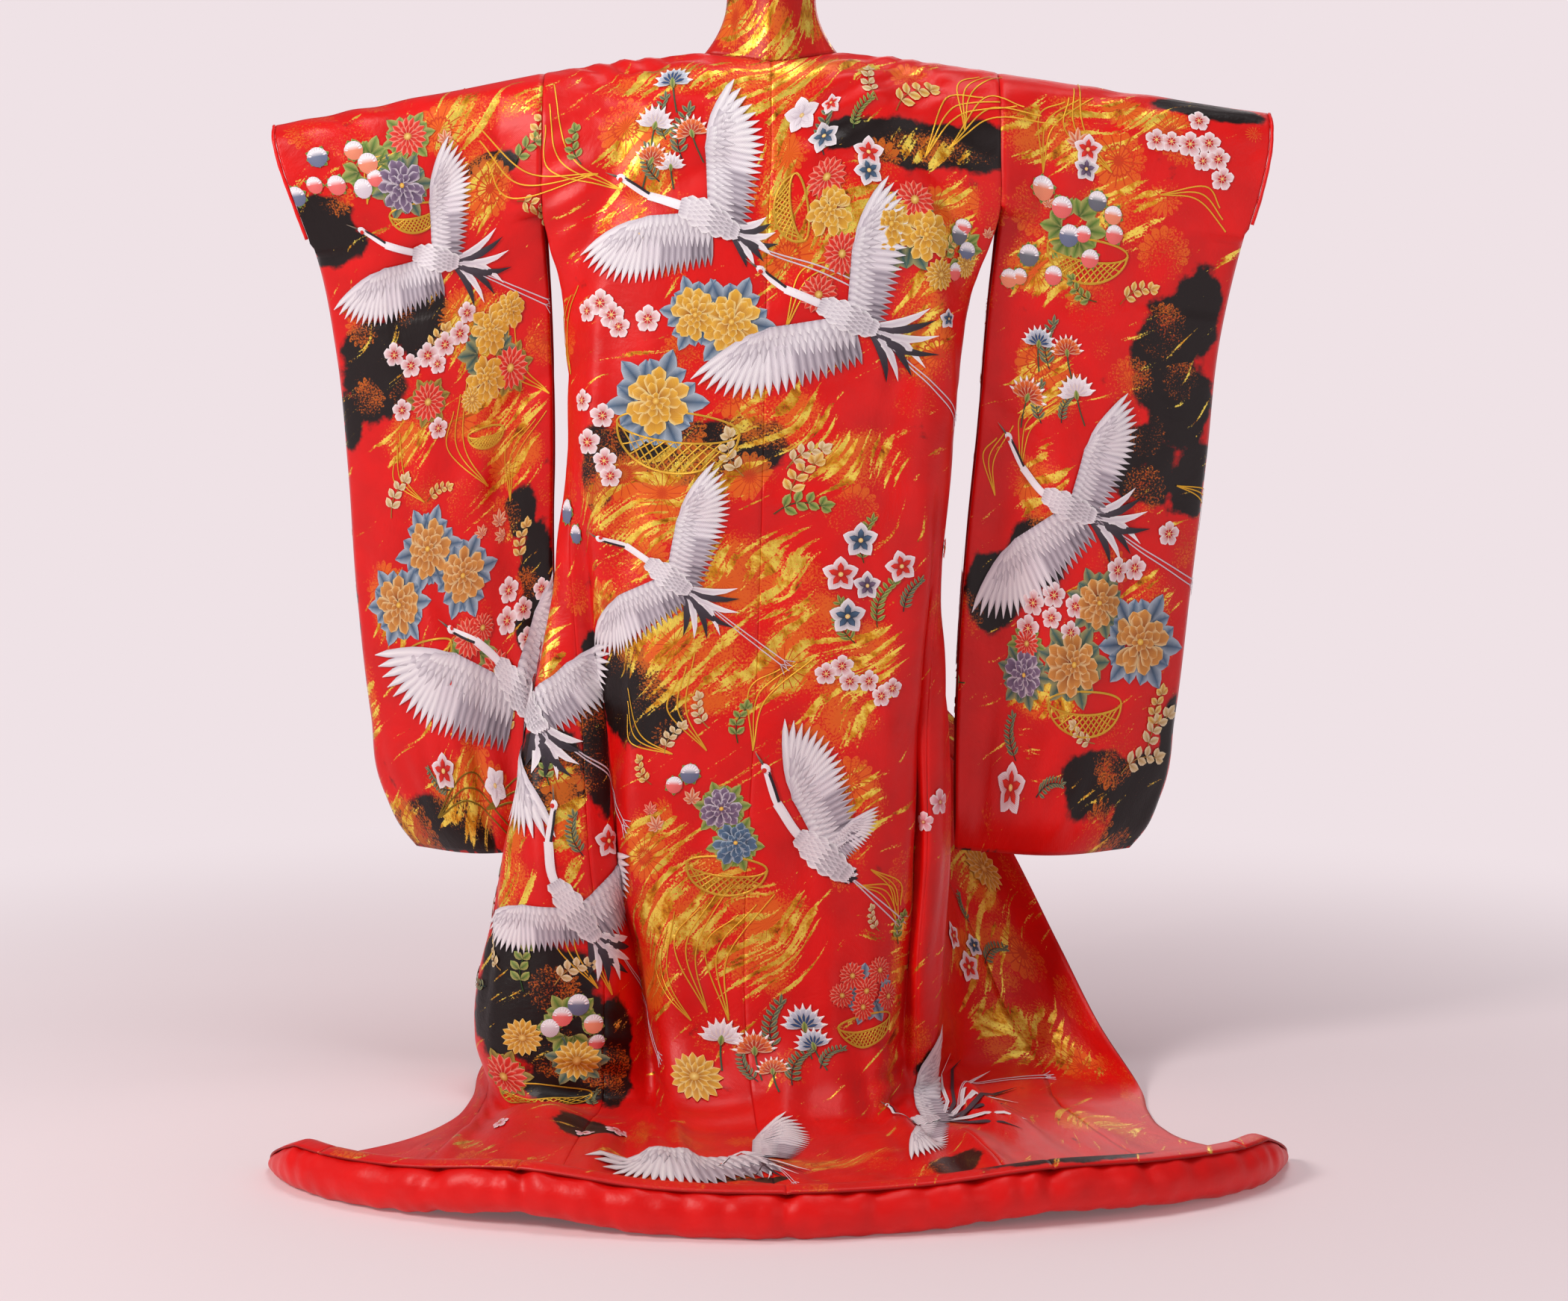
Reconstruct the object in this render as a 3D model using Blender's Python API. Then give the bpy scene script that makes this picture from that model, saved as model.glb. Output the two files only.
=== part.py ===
"""A wedding uchikake, hung open with its sleeves spread and its padded hem fanned out behind.

The cloth is cut flat, as the real pieces are, given its thickness, and then draped: each
point of a flat piece has a place across the cloth (s, from the centre back round the side
to the front edge) and a place down it (t, from the shoulder to the hem), and the tables
below say where the cloth runs in space at a few such places. X is to the right as seen
from behind, Y to the front of the garment and Z up. The origin is where it is held, at the
back of the neck.
"""

import math
from collections import namedtuple

import bmesh
import bpy
import numpy as np

# Sizes of the cut, in metres
HELD_AT = 1.36  # height of the shoulders over the floor
WALL = 0.0024  # brocade with its lining
BACK_W = 0.305  # one back panel, centre seam to side seam
NECK_W = 0.090  # half of the neck slit
FRONT_TOP_W = BACK_W - NECK_W  # front panel beside the neck
FRONT_W = 0.270  # front panel below the neck
OKUMI_W = 0.160  # the overlap panel along the front edge
FRONT_SEAM = BACK_W + FRONT_W
EDGE = FRONT_SEAM + OKUMI_W
NECK_DROP = 0.23  # where the front panel has its full width
OKUMI_TOP = 0.24  # where the overlap panel starts
COLLAR_END = 0.98  # where the collar ends, down from the shoulder
COLLAR_W = 0.060  # collar on the fronts
ARMHOLE = 0.20  # sewn part of the sleeve
SIDE_OPEN = 0.33  # where the side seam starts
HEM_T = 1.90  # shoulder to the seam on the hem roll
SLEEVE_W = 0.360
SLEEVE_L = 0.990
CUFF = 0.175  # hand opening, down from the sleeve's fold
SEAM = 0.0004  # half of the gap left at a seam
ROLL_R = 0.028  # padded hem roll
ROLL_SIDES = 12
ROLL_GAP = 0.0009
ROLL_TAPER = 0.11  # length over which the roll thins to its tips
PIPING_R = 0.0025  # red piping of the hand openings

# Where the columns of the body tables lie across the cloth
BACK_S = (0.0, 0.10, 0.165, 0.22, 0.262, 0.305)
FRONT_S = (0.305, 0.35, 0.40, 0.46, 0.52, 0.575, 0.655, 0.735)

# Plan places in mm, one row for each level: t is down the cloth, z the height. The back
# row runs from the centre seam to the side, the front row from the side to the edge.
Level = namedtuple("Level", "t z centre back front")
RIGHT = (
    Level(0.00, (1362, 1377, 1372, 1364, 1358, 1351), (0, -52),
          ((99, -5), (163, 0), (218, 0), (261, 0), (303, 0)),
          ((303, 0), (259, 0), (210, 0), (151, 0), (92, 0), (38, 0), (-41, 0), (-120, 0))),
    Level(0.03, (1337, 1363, 1358, 1350, 1344, 1337), (0, -66),
          ((99, -34), (163, -29), (218, -28), (261, -28), (303, -28)),
          ((303, 28), (260, 28), (212, 28), (155, 30), (99, 32), (50, 34), (-20, 36), (-90, 38))),
    Level(0.07, (1300, 1328, 1323, 1314, 1308, 1301), (0, -79),
          ((99, -62), (163, -56), (219, -53), (262, -52), (303, -51)),
          ((303, 50), (261, 53), (215, 57), (162, 60), (109, 62), (62, 63), (0, 66), (-60, 70))),
    Level(0.13, (1241, 1268, 1263, 1254, 1248, 1241), (0, -93),
          ((99, -84), (163, -78), (219, -71), (262, -65), (303, -60)),
          ((303, 57), (262, 66), (219, 75), (170, 82), (120, 87), (76, 90), (18, 94), (-30, 98))),
    Level(0.20, (1171, 1195, 1190, 1184, 1178, 1171), (-3, -103),
          ((97, -98), (162, -93), (218, -82), (260, -70), (303, -58)),
          ((303, 48), (264, 68), (224, 84), (178, 96), (131, 104), (90, 109), (35, 114), (-8, 118))),
    Level(0.33, (1042,), (-7, -112),
          ((97, -108), (160, -101), (211, -84), (244, -58), (263, -22)),
          ((263, -22), (254, 21), (230, 62), (188, 94), (142, 116), (102, 130), (54, 142), (24, 152))),
    Level(0.50, (875,), (-10, -117),
          ((94, -113), (158, -107), (208, -90), (235, -64), (243, -26)),
          ((243, -26), (235, 14), (216, 55), (178, 94), (134, 122), (100, 144), (66, 166), (46, 190))),
    Level(0.67, (708,), (-14, -122),
          ((90, -118), (155, -112), (203, -90), (212, -62), (226, -42)),
          ((226, -42), (224, 0), (211, 48), (180, 98), (138, 140), (104, 172), (76, 206), (62, 240))),
    Level(0.87, (510,), (-21, -130),
          ((84, -126), (148, -119), (182, -84), (188, -52), (206, -72)),
          ((206, -72), (232, -48), (231, 0), (214, 52), (188, 106), (164, 156), (150, 212), (178, 250))),
    Level(1.07, (312,), (-32, -142),
          ((67, -139), (128, -134), (170, -102), (186, -66), (204, -92)),
          ((204, -92), (234, -66), (234, -18), (224, 40), (214, 96), (216, 150), (262, 200), (320, 197))),
    Level(1.22, (163,), (-35, -160),
          ((64, -157), (127, -150), (164, -118), (178, -88), (191, -112)),
          ((191, -112), (221, -90), (226, -42), (234, 18), (252, 74), (286, 114), (344, 128), (396, 96))),
    Level(1.315, (72,), (-30, -188),
          ((70, -182), (129, -170), (158, -132), (171, -104), (190, -114)),
          ((190, -114), (217, -92), (222, -40), (238, 20), (276, 66), (324, 88), (394, 72), (442, 28))),
    Level(1.40, (12,), (-20, -250),
          ((80, -242), (136, -218), (160, -170), (174, -138), (192, -124)),
          ((192, -124), (214, -98), (222, -46), (246, 16), (306, 48), (366, 50), (438, 2), (484, -60))),
)
LEFT = (
    *RIGHT[:5],
    Level(0.33, (1042,), (-7, -112),
          ((103, -108), (165, -101), (217, -85), (252, -62), (276, -28)),
          ((276, -28), (266, 16), (238, 58), (192, 94), (144, 116), (102, 130), (54, 142), (24, 152))),
    Level(0.50, (875,), (-10, -117),
          ((109, -113), (170, -108), (220, -97), (252, -76), (268, -42)),
          ((268, -42), (262, 2), (236, 44), (196, 84), (152, 116), (110, 142), (70, 168), (50, 190))),
    Level(0.67, (708,), (-14, -122),
          ((113, -118), (177, -112), (228, -96), (243, -64), (266, -58)),
          ((266, -58), (284, -36), (258, 2), (224, 48), (188, 96), (148, 140), (98, 184), (68, 220))),
    Level(0.87, (510,), (-21, -130),
          ((120, -125), (184, -116), (208, -78), (222, -54), (250, -76)),
          ((250, -76), (288, -78), (318, -52), (272, -20), (228, 20), (204, 70), (170, 132), (132, 184))),
    Level(1.07, (312,), (-32, -142),
          ((132, -140), (182, -122), (198, -76), (212, -90), (236, -118)),
          ((236, -118), (278, -124), (326, -108), (358, -74), (312, -40), (258, -8),
           (228, 60), (218, 134))),
    Level(1.22, (163,), (-35, -160),
          ((134, -154), (163, -108), (174, -76), (190, -102), (217, -132)),
          ((217, -132), (260, -141), (311, -134), (366, -108), (382, -56), (334, -10),
           (300, 58), (288, 132))),
    Level(1.315, (72,), (-30, -188),
          ((130, -174), (154, -122), (165, -90), (184, -112), (217, -142)),
          ((217, -142), (261, -150), (311, -144), (368, -120), (388, -66), (362, -16),
           (344, 44), (338, 110))),
    Level(1.40, (12,), (-20, -250),
          ((120, -232), (146, -170), (160, -130), (184, -138), (217, -156)),
          ((217, -156), (262, -164), (308, -158), (348, -136), (366, -100), (372, -56),
           (381, 2), (390, 58))),
)

# The hem roll's axis on the floor, and how much it is lifted, in mm
HemPoint = namedtuple("HemPoint", "s x y lift")
HEM = (
    HemPoint(-0.735, -597, -448, 2), HemPoint(-0.70, -582, -478, 1), HemPoint(-0.60, -528, -557, 0),
    HemPoint(-0.45, -413, -645, 4), HemPoint(-0.30, -275, -700, 15), HemPoint(-0.15, -132, -734, 2),
    HemPoint(0.0, 16, -746, 0), HemPoint(0.15, 164, -722, 2), HemPoint(0.30, 307, -690, 13),
    HemPoint(0.45, 441, -634, 8), HemPoint(0.60, 556, -533, 0), HemPoint(0.70, 604, -447, 1),
    HemPoint(0.735, 620, -415, 2),
)

# Swells of the train between the floor's first touch (0) and the roll (1), in metres
Swell = namedtuple("Swell", "s q high wide long")
TRAIN = (
    Swell(-0.37, 0.30, 0.040, 0.055, 0.30), Swell(-0.27, 0.62, 0.022, 0.040, 0.30),
    Swell(-0.15, 0.55, 0.014, 0.045, 0.30), Swell(0.03, 0.60, 0.012, 0.050, 0.25),
    Swell(0.19, 0.40, 0.036, 0.040, 0.28), Swell(0.31, 0.62, 0.026, 0.045, 0.26),
    Swell(0.42, 0.45, 0.020, 0.045, 0.30), Swell(-0.50, 0.55, 0.014, 0.050, 0.30),
    Swell(0.55, 0.60, 0.012, 0.050, 0.30),
)
TRAIN_T = (1.50, 1.60, 1.70, 1.78)  # levels on the floor
RISE = ((1.825, 0.060, 0.013), (1.845, 0.040, 0.028))  # t, inside of the axis, height
WRAP = ((1.862, 150), (1.876, 120), (1.889, 90), (HEM_T, 60))  # t, angle on the roll

# Sleeves: the outer and inner edge, in mm, at levels down the sleeve. mid is the middle of
# the bag to the front, half its half thickness.
SleeveRow = namedtuple("SleeveRow", "b outer outer_z inner inner_z mid half")
SLEEVE_RIGHT = (
    SleeveRow(0.00, 664, 1297, 303, 1351, 0, 0), SleeveRow(0.03, 664, 1283, 303, 1337, 0, 26),
    SleeveRow(0.07, 662, 1250, 303, 1301, 0, 36), SleeveRow(0.13, 650, 1192, 303, 1241, 0, 38),
    SleeveRow(0.20, 630, 1124, 303, 1171, 2, 34), SleeveRow(0.33, 603, 996, 291, 1042, 10, 27),
    SleeveRow(0.50, 588, 830, 278, 875, 20, 23), SleeveRow(0.67, 570, 658, 262, 708, 28, 22),
    SleeveRow(0.84, 549, 480, 251, 530, 34, 24), SleeveRow(0.94, 530, 374, 248, 405, 36, 20),
    SleeveRow(0.975, 507, 325, 248, 337, 36, 14), SleeveRow(0.99, 488, 303, 248, 307, 36, 0),
)
SLEEVE_LEFT = (
    SleeveRow(0.00, 663, 1281, 303, 1351, 0, 0), SleeveRow(0.03, 661, 1266, 303, 1337, 0, 26),
    SleeveRow(0.07, 653, 1233, 303, 1301, 0, 36), SleeveRow(0.13, 632, 1174, 303, 1241, 0, 38),
    SleeveRow(0.20, 608, 1104, 303, 1171, 6, 34), SleeveRow(0.33, 586, 976, 297, 1042, 22, 26),
    SleeveRow(0.50, 575, 818, 294, 875, 42, 22), SleeveRow(0.67, 567, 652, 296, 708, 56, 21),
    SleeveRow(0.84, 548, 480, 292, 528, 60, 23), SleeveRow(0.94, 530, 376, 288, 398, 60, 19),
    SleeveRow(0.975, 505, 325, 286, 336, 60, 13), SleeveRow(0.99, 486, 302, 286, 306, 60, 0),
)

# The collar's free edge round the neck: along is the cut's length from the centre back,
# down the front it lies flat by 'flat' (0 stands up, 1 lies in the front panel's plane).
CollarRow = namedtuple("CollarRow", "along lean up flat")
COLLAR = (
    CollarRow(0.00, 0.008, 0.094, 0.0), CollarRow(0.05, 0.018, 0.091, 0.0),
    CollarRow(0.09, 0.034, 0.080, 0.0), CollarRow(0.13, 0.044, 0.056, 0.06),
    CollarRow(0.19, 0.050, 0.028, 0.35), CollarRow(0.28, 0.056, 0.010, 0.80),
    CollarRow(0.36, 0.056, 0.0, 1.0), CollarRow(1.10, 0.056, 0.0, 1.0),
)

# Cells of the flat pieces: how many from one t to the next
BODY_ROWS = ((0.0, 0.20, 6), (0.20, 1.22, 20), (1.22, 1.50, 8), (1.50, 1.78, 5), (1.78, 1.862, 3))
BACK_CELLS, NECK_CELLS = 11, 3
OKUMI_CELLS, COLLAR_CELLS = 4, 4
SLEEVE_CELLS = 9
CUFF_ROWS = (0.0, 0.02, 0.045, 0.08, 0.13, CUFF)


def clear_scene():
    """Start from an empty file."""
    for thing in list(bpy.data.objects):
        bpy.data.objects.remove(thing, do_unlink=True)


def finish(name, colour, roughness, metallic=0.0):
    """One Principled material."""
    mat = bpy.data.materials.new(name)
    mat.use_nodes = True
    shader = mat.node_tree.nodes["Principled BSDF"]
    shader.inputs["Base Color"].default_value = (*colour, 1.0)
    shader.inputs["Roughness"].default_value = roughness
    shader.inputs["Metallic"].default_value = metallic
    return mat


def curve_at(knots, values, at):
    """Place on the smooth curve through values at knots; it runs on straight past its ends."""
    last = len(knots) - 1
    i = min(max(int(np.searchsorted(knots, at, side="right")) - 1, 0), last - 1)
    step = knots[i + 1] - knots[i]

    def slope(j):
        if j == 0 or j == last:
            k = 1 if j == 0 else last
            return (values[k] - values[k - 1]) / (knots[k] - knots[k - 1])
        left, right = knots[j] - knots[j - 1], knots[j + 1] - knots[j]
        before = (values[j] - values[j - 1]) / left
        after = (values[j + 1] - values[j]) / right
        return (before * right + after * left) / (left + right)

    if at < knots[0]:
        return values[0] + slope(0) * (at - knots[0])
    if at > knots[last]:
        return values[last] + slope(last) * (at - knots[last])
    u = (at - knots[i]) / step
    a, b = 2 * u**3 - 3 * u**2 + 1, u**3 - 2 * u**2 + u
    c, d = -2 * u**3 + 3 * u**2, u**3 - u**2
    return a * values[i] + b * step * slope(i) + c * values[i + 1] + d * step * slope(i + 1)


def roll_radius(s):
    """The hem roll thins to a point over its last hand's breadth."""
    return ROLL_R * (0.12 + 0.88 * min(1.0, max(0.0, (EDGE - abs(s)) / ROLL_TAPER)) ** 0.7)


class Hem:
    """The line of the hem roll on the floor."""

    knots = np.array([p.s for p in HEM])
    table = np.array([(p.x, p.y, p.lift) for p in HEM]) / 1000

    def frame(self, s):
        """Axis place and the level direction from the roll towards the train."""
        ahead = curve_at(self.knots, self.table, s + 0.002)
        behind = curve_at(self.knots, self.table, s - 0.002)
        along = (ahead - behind)[:2]
        along /= np.linalg.norm(along)
        x, y, lift = curve_at(self.knots, self.table, s)
        centre = np.array([x, y, roll_radius(s) - 0.002 + lift])
        return centre, np.array([-along[1], along[0], 0.0])

    def on_roll(self, s, angle, radius):
        """A point round the roll, the angle taken up from its outer side."""
        centre, inward = self.frame(s)
        turn = math.radians(angle)
        return centre - inward * math.cos(turn) * radius + np.array([0, 0, math.sin(turn) * radius])


class Drape:
    """Where the body's cloth runs in space."""

    def __init__(self):
        self.hem = Hem()
        self.levels = []
        for right, left in zip(RIGHT, LEFT):
            self.levels.append((right.t, self.hanging(right, left)))
        touch = self.levels[-1][1]
        for t in TRAIN_T:
            self.levels.append((t, self.lying(touch, (t - 1.40) / (TRAIN_T[-1] - 1.40), 0.085, 0.0)))
        for t, inside, high in RISE:
            self.levels.append((t, self.lying(touch, 1.0, inside, high)))
        self.levels += WRAP
        self.knots = np.array([t for t, _ in self.levels])

    def hanging(self, right, left):
        """The rows of one level as knots and places: back, front right, front left."""
        rows = {}
        for side, level in ((1, right), (-1, left)):
            heights = level.z if len(level.z) > 1 else level.z * 6
            back = [(BACK_S[0], (*level.centre, heights[0]))]
            back += [(side * s, (side * x, y, z))
                     for s, (x, y), z in zip(BACK_S[1:], level.back, heights[1:])]
            front_z = heights[:0:-1] + (heights[1],) * 3 if len(level.z) > 1 else level.z * 8
            front = [(side * s, (side * x, y, z))
                     for s, (x, y), z in zip(FRONT_S, level.front, front_z)]
            (s0, p0), (s1, p1) = front[-2], front[-1]
            more = tuple(b + 0.8 * (b - a) for a, b in zip(p0, p1))
            front.append((s1 + 0.8 * (s1 - s0), more))
            rows[side] = (back, front)
        back = rows[-1][0][:0:-1] + rows[1][0]
        if right.t >= SIDE_OPEN - 1e-9:
            whole = rows[-1][1][:0:-1] + back + rows[1][1][1:]
            return {"back": self.arrays(whole), "right": self.arrays(whole), "left": self.arrays(whole)}
        return {"back": self.arrays(back), "right": self.arrays(rows[1][1]),
                "left": self.arrays(rows[-1][1][::-1])}

    def arrays(self, row):
        """Knots and places of a row, in metres."""
        return np.array([s for s, _ in row]), np.array([p for _, p in row], float) / 1000

    def same(self, knots, places):
        """One row for the back and both fronts."""
        row = (knots, np.array(places))
        return {"back": row, "right": row, "left": row}

    def lying(self, touch, q, inside, high):
        """A level on the floor, a share q of the way from the first touch to the roll."""
        knots, first = touch["back"]
        places = []
        for s, start in zip(knots, first):
            reach = min(max(s, -EDGE), EDGE)
            centre, inward = self.hem.frame(reach)
            thin = roll_radius(reach) / ROLL_R
            end = centre + inward * inside * (0.35 + 0.65 * thin)
            pull = max(0.0, (abs(s) - 0.45) / (EDGE - 0.45))
            power = 1 + pull * (3.4 if s > 0 else 2.6)
            lift = curve_at(self.hem.knots, self.hem.table, reach)[2]
            place = np.array([
                start[0] + (end[0] - start[0]) * q**power,
                start[1] + (end[1] - start[1]) * q ** (1 - 0.15 * pull),
                WALL / 2 + high * thin + lift * q**3,
            ])
            for swell in TRAIN:
                away = ((s - swell.s) / swell.wide) ** 2 + ((q - swell.q) / swell.long) ** 2
                if not high:
                    place[2] += swell.high * math.exp(-away) * min(1.0, 4 * (1 - q) + 0.15)
            places.append(place)
        return self.same(knots, places)

    def point(self, s, t, sheet):
        """The middle of the cloth at (s, t) on the back or a front."""
        last = len(self.knots) - 1
        i = min(max(int(np.searchsorted(self.knots, t, side="right")) - 1, 0), last - 1)
        low, high = max(i - 1, 0), min(i + 2, last)
        places = [self.across(j, s, sheet) for j in range(low, high + 1)]
        if self.knots[low] < SIDE_OPEN <= t:
            places[0] = self.joined(low, s, sheet)
        return curve_at(self.knots[low:high + 1], np.array(places), t)

    def across(self, level, s, sheet):
        """Place at s on one level; the last levels lie round the hem roll."""
        rows = self.levels[level][1]
        if isinstance(rows, dict):
            knots, places = rows[sheet]
            return curve_at(knots, places, s)
        reach = min(max(s, -EDGE), EDGE)
        return self.hem.on_roll(reach, rows, roll_radius(reach) + WALL / 2 + ROLL_GAP)

    def joined(self, level, s, sheet):
        """Above the side seam, the mean of back and front beside it, so that both leave it alike."""
        other = ("right" if s > 0 else "left") if sheet == "back" else "back"
        share = 0.5 * max(0.0, 1 - abs(abs(s) - BACK_W) / 0.05)
        return self.across(level, s, sheet) * (1 - share) + self.across(level, s, other) * share

    def normal(self, s, t, sheet):
        """Unit normal, outwards."""
        step = 0.003
        low, high = max(t - step, 0.0), min(t + step, HEM_T)
        down = self.point(s, high, sheet) - self.point(s, low, sheet)
        ahead, behind = s + step, s - step
        if t < SIDE_OPEN:
            edge = BACK_W if s > 0 else -BACK_W
            if sheet == "back":
                ahead, behind = min(ahead, BACK_W), max(behind, -BACK_W)
            elif edge > 0:
                behind = max(behind, edge)
            else:
                ahead = min(ahead, edge)
        across = self.point(ahead, t, sheet) - self.point(behind, t, sheet)
        if t < SIDE_OPEN and abs(abs(s) - BACK_W) < 1e-3:
            down[0] = 0.0
            across = np.array([1.0, 0, 0]) * (1 if sheet == "back" else -1)
        if t == 0.0 and sheet == "back" and abs(s) > NECK_W - 0.005:
            down = np.array([0, -1.0, 0.0])
        if t == 0.0 and sheet != "back":
            down = np.array([0, 1.0, 0.0])
        turned = -np.cross(across, down)
        return turned / np.linalg.norm(turned)


def flat_piece(columns, rows, keep=None):
    """A flat cut as a grid over columns (X) and rows (Y), its unwanted cells cut away."""
    bm = bmesh.new()
    bmesh.ops.create_grid(bm, x_segments=len(columns) - 1, y_segments=len(rows) - 1, size=0.5)
    for vert in bm.verts:
        i = round((vert.co.x + 0.5) * (len(columns) - 1))
        j = round((vert.co.y + 0.5) * (len(rows) - 1))
        vert.co = (i, j, 0.0)
    if keep:
        cut = [f for f in bm.faces if not keep(f.calc_center_median().x, f.calc_center_median().y)]
        bmesh.ops.delete(bm, geom=cut, context="FACES")
    return bm


def drape_piece(name, bm, place, material, wall=WALL, floor=True):
    """Double the flat cut to its thickness, drape it by place(i, j) and make its object."""
    spots = [(round(v.co.x), round(v.co.y)) for v in bm.verts]
    front = list(bm.verts)
    made = bmesh.ops.extrude_face_region(bm, geom=list(bm.faces), use_keep_orig=True)
    back = [g for g in made["geom"] if isinstance(g, bmesh.types.BMVert)]
    where = {spot: place(*spot) for spot in set(spots)}
    for group, way in ((front, 0.5), (back, -0.5)):
        for vert in group:
            middle, normal = where[(round(vert.co.x), round(vert.co.y))]
            spot = middle + normal * wall * way
            if floor:
                least = 0.0 if normal[2] * way < 0 else wall * abs(normal[2])
                spot[2] = max(spot[2], least)
            vert.co = (spot[0], spot[1], spot[2] - HELD_AT)
    return solid(name, bm, material)


def solid(name, bm, material):
    """An object with smooth faces that point out."""
    bmesh.ops.recalc_face_normals(bm, faces=list(bm.faces))
    if bm.calc_volume(signed=True) < 0:
        bmesh.ops.reverse_faces(bm, faces=list(bm.faces))
    mesh = bpy.data.meshes.new(name)
    bm.to_mesh(mesh)
    bm.free()
    mesh.shade_smooth()
    mesh.materials.append(material)
    made = bpy.data.objects.new(name, mesh)
    bpy.context.scene.collection.objects.link(made)
    return made


def levels_down(spans, ends=()):
    """The t of each line of a grid."""
    lines = [spans[0][0]]
    for start, stop, cells in spans:
        lines += [start + (stop - start) * (k + 1) / cells for k in range(cells)]
    return lines + [t for t in ends if t > lines[-1] + 1e-6]


def front_width(t):
    """Width of the front panel, from the side seam, at t."""
    return FRONT_TOP_W + (FRONT_W - FRONT_TOP_W) * min(1.0, t / NECK_DROP)


def okumi_edge(t):
    """Where the overlap panel's cloth ends across, at t."""
    share = min(1.0, max(0.0, (t - NECK_DROP) / (COLLAR_END - NECK_DROP)))
    return FRONT_SEAM + OKUMI_W * share


def body_columns():
    """Places across the back strip, with a line at the end of the neck slit."""
    neck = [NECK_W * k / NECK_CELLS for k in range(NECK_CELLS)]
    rest = BACK_CELLS - NECK_CELLS
    return neck + [NECK_W + FRONT_TOP_W * k / rest for k in range(rest + 1)]


def make_body(drape, side, material):
    """One body strip: back panel, over the shoulder, and front panel, with the neck slit."""
    columns = body_columns()
    down = levels_down(BODY_ROWS, [t for t, _ in WRAP])
    rows = [-t for t in reversed(down)] + down[1:]
    top = len(down) - 1
    bm = flat_piece(columns, rows, keep=lambda i, j: j < top or i > NECK_CELLS)
    sheet = "right" if side > 0 else "left"

    def place(i, j):
        across, t = columns[i], abs(rows[j])
        if j <= top:
            s = side * min(max(across, SEAM), BACK_W - SEAM if t > 0 else BACK_W)
            if j == top and i >= NECK_CELLS:
                return over_shoulder(s, sheet)
            return drape.point(s, t, "back"), drape.normal(s, t, "back")
        width = front_width(t) - SEAM
        s = side * (BACK_W + SEAM + (BACK_W - across) * (width - SEAM) / FRONT_TOP_W)
        return drape.point(s, t, sheet), drape.normal(s, t, sheet)

    def over_shoulder(s, sheet):
        spot = drape.point(s, 0.0, "back")
        slope = drape.point(s + side * 0.004, 0.0, "back") - drape.point(s - side * 0.004, 0.0, "back")
        up = np.array([-slope[2], 0.0, slope[0]]) * side
        return spot, up / np.linalg.norm(up)

    name = "body_right" if side > 0 else "body_left"
    return drape_piece(name, bm, place, material)


def make_okumi(drape, side, material):
    """The overlap panel from under the collar's slant to the hem."""
    sheet = "right" if side > 0 else "left"
    down = [t for t in levels_down(BODY_ROWS, [t for t, _ in WRAP]) if t > OKUMI_TOP]
    bm = flat_piece(range(OKUMI_CELLS + 1), range(len(down)))

    def place(i, j):
        t = down[j]
        start, end = FRONT_SEAM + SEAM, okumi_edge(t) - SEAM
        s = side * (start + (end - start) * i / OKUMI_CELLS)
        return drape.point(s, t, sheet), drape.normal(s, t, sheet)

    return drape_piece("okumi_right" if side > 0 else "okumi_left", bm, place, material)


def collar_seam(drape, along, side):
    """The seam under the collar: its place, the way in and the way the panel's plane runs on."""
    turn = math.pi / 2 * (1 + min(1.0, along / 0.13))
    inward = np.array([side * math.cos(turn), math.sin(turn), 0.0])
    if along <= NECK_W:
        return drape.point(side * along, 0.0, "back"), inward, inward
    t = along - NECK_W
    sheet = "right" if side > 0 else "left"
    edge = BACK_W + front_width(t) if t < NECK_DROP else okumi_edge(t)
    spot = drape.point(side * edge, t, sheet)
    plane = drape.point(side * (edge + 0.02), t, sheet) - spot
    return spot, inward, plane / np.linalg.norm(plane)


def make_collar(drape, material):
    """The band round the neck and down both front edges."""
    half = [0.0, 0.022, 0.045, 0.068]
    half += [NECK_W + t for t in levels_down(BODY_ROWS) if t < COLLAR_END] + [NECK_W + COLLAR_END]
    stations = [-a for a in reversed(half)] + half[1:]
    bm = flat_piece(range(COLLAR_CELLS + 1), stations)
    knots = np.array([row.along for row in COLLAR])
    table = np.array([row[1:] for row in COLLAR])

    def place(i, j):
        along, side = abs(stations[j]), 1 if stations[j] >= 0 else -1
        share = i / COLLAR_CELLS
        return band(along, side, share), band_normal(along, side, share)

    def band(along, side, share):
        spot, inward, plane = collar_seam(drape, along, side)
        lean, up, flat = curve_at(knots, table, along)
        start = 2 * SEAM + 0.0022
        stand = inward * (start + lean * (1 - (1 - share) ** 2)) + np.array([0, 0, up * share])
        lie = plane * (2 * SEAM + COLLAR_W * share)
        return spot + stand * (1 - flat) + lie * flat

    def band_normal(along, side, share):
        step = 0.004
        run = band(along + step, side, share) - band(max(along - step, 0.0), side, share)
        if along < step:
            run = band(step, 1, share) - band(step, -1, share)
            run *= side
        over = band(along, side, min(share + 0.05, 1.0)) - band(along, side, max(share - 0.05, 0.0))
        out = np.cross(run, over) * side
        return out / np.linalg.norm(out)

    return drape_piece("collar", bm, place, material, wall=0.003, floor=False)


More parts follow.
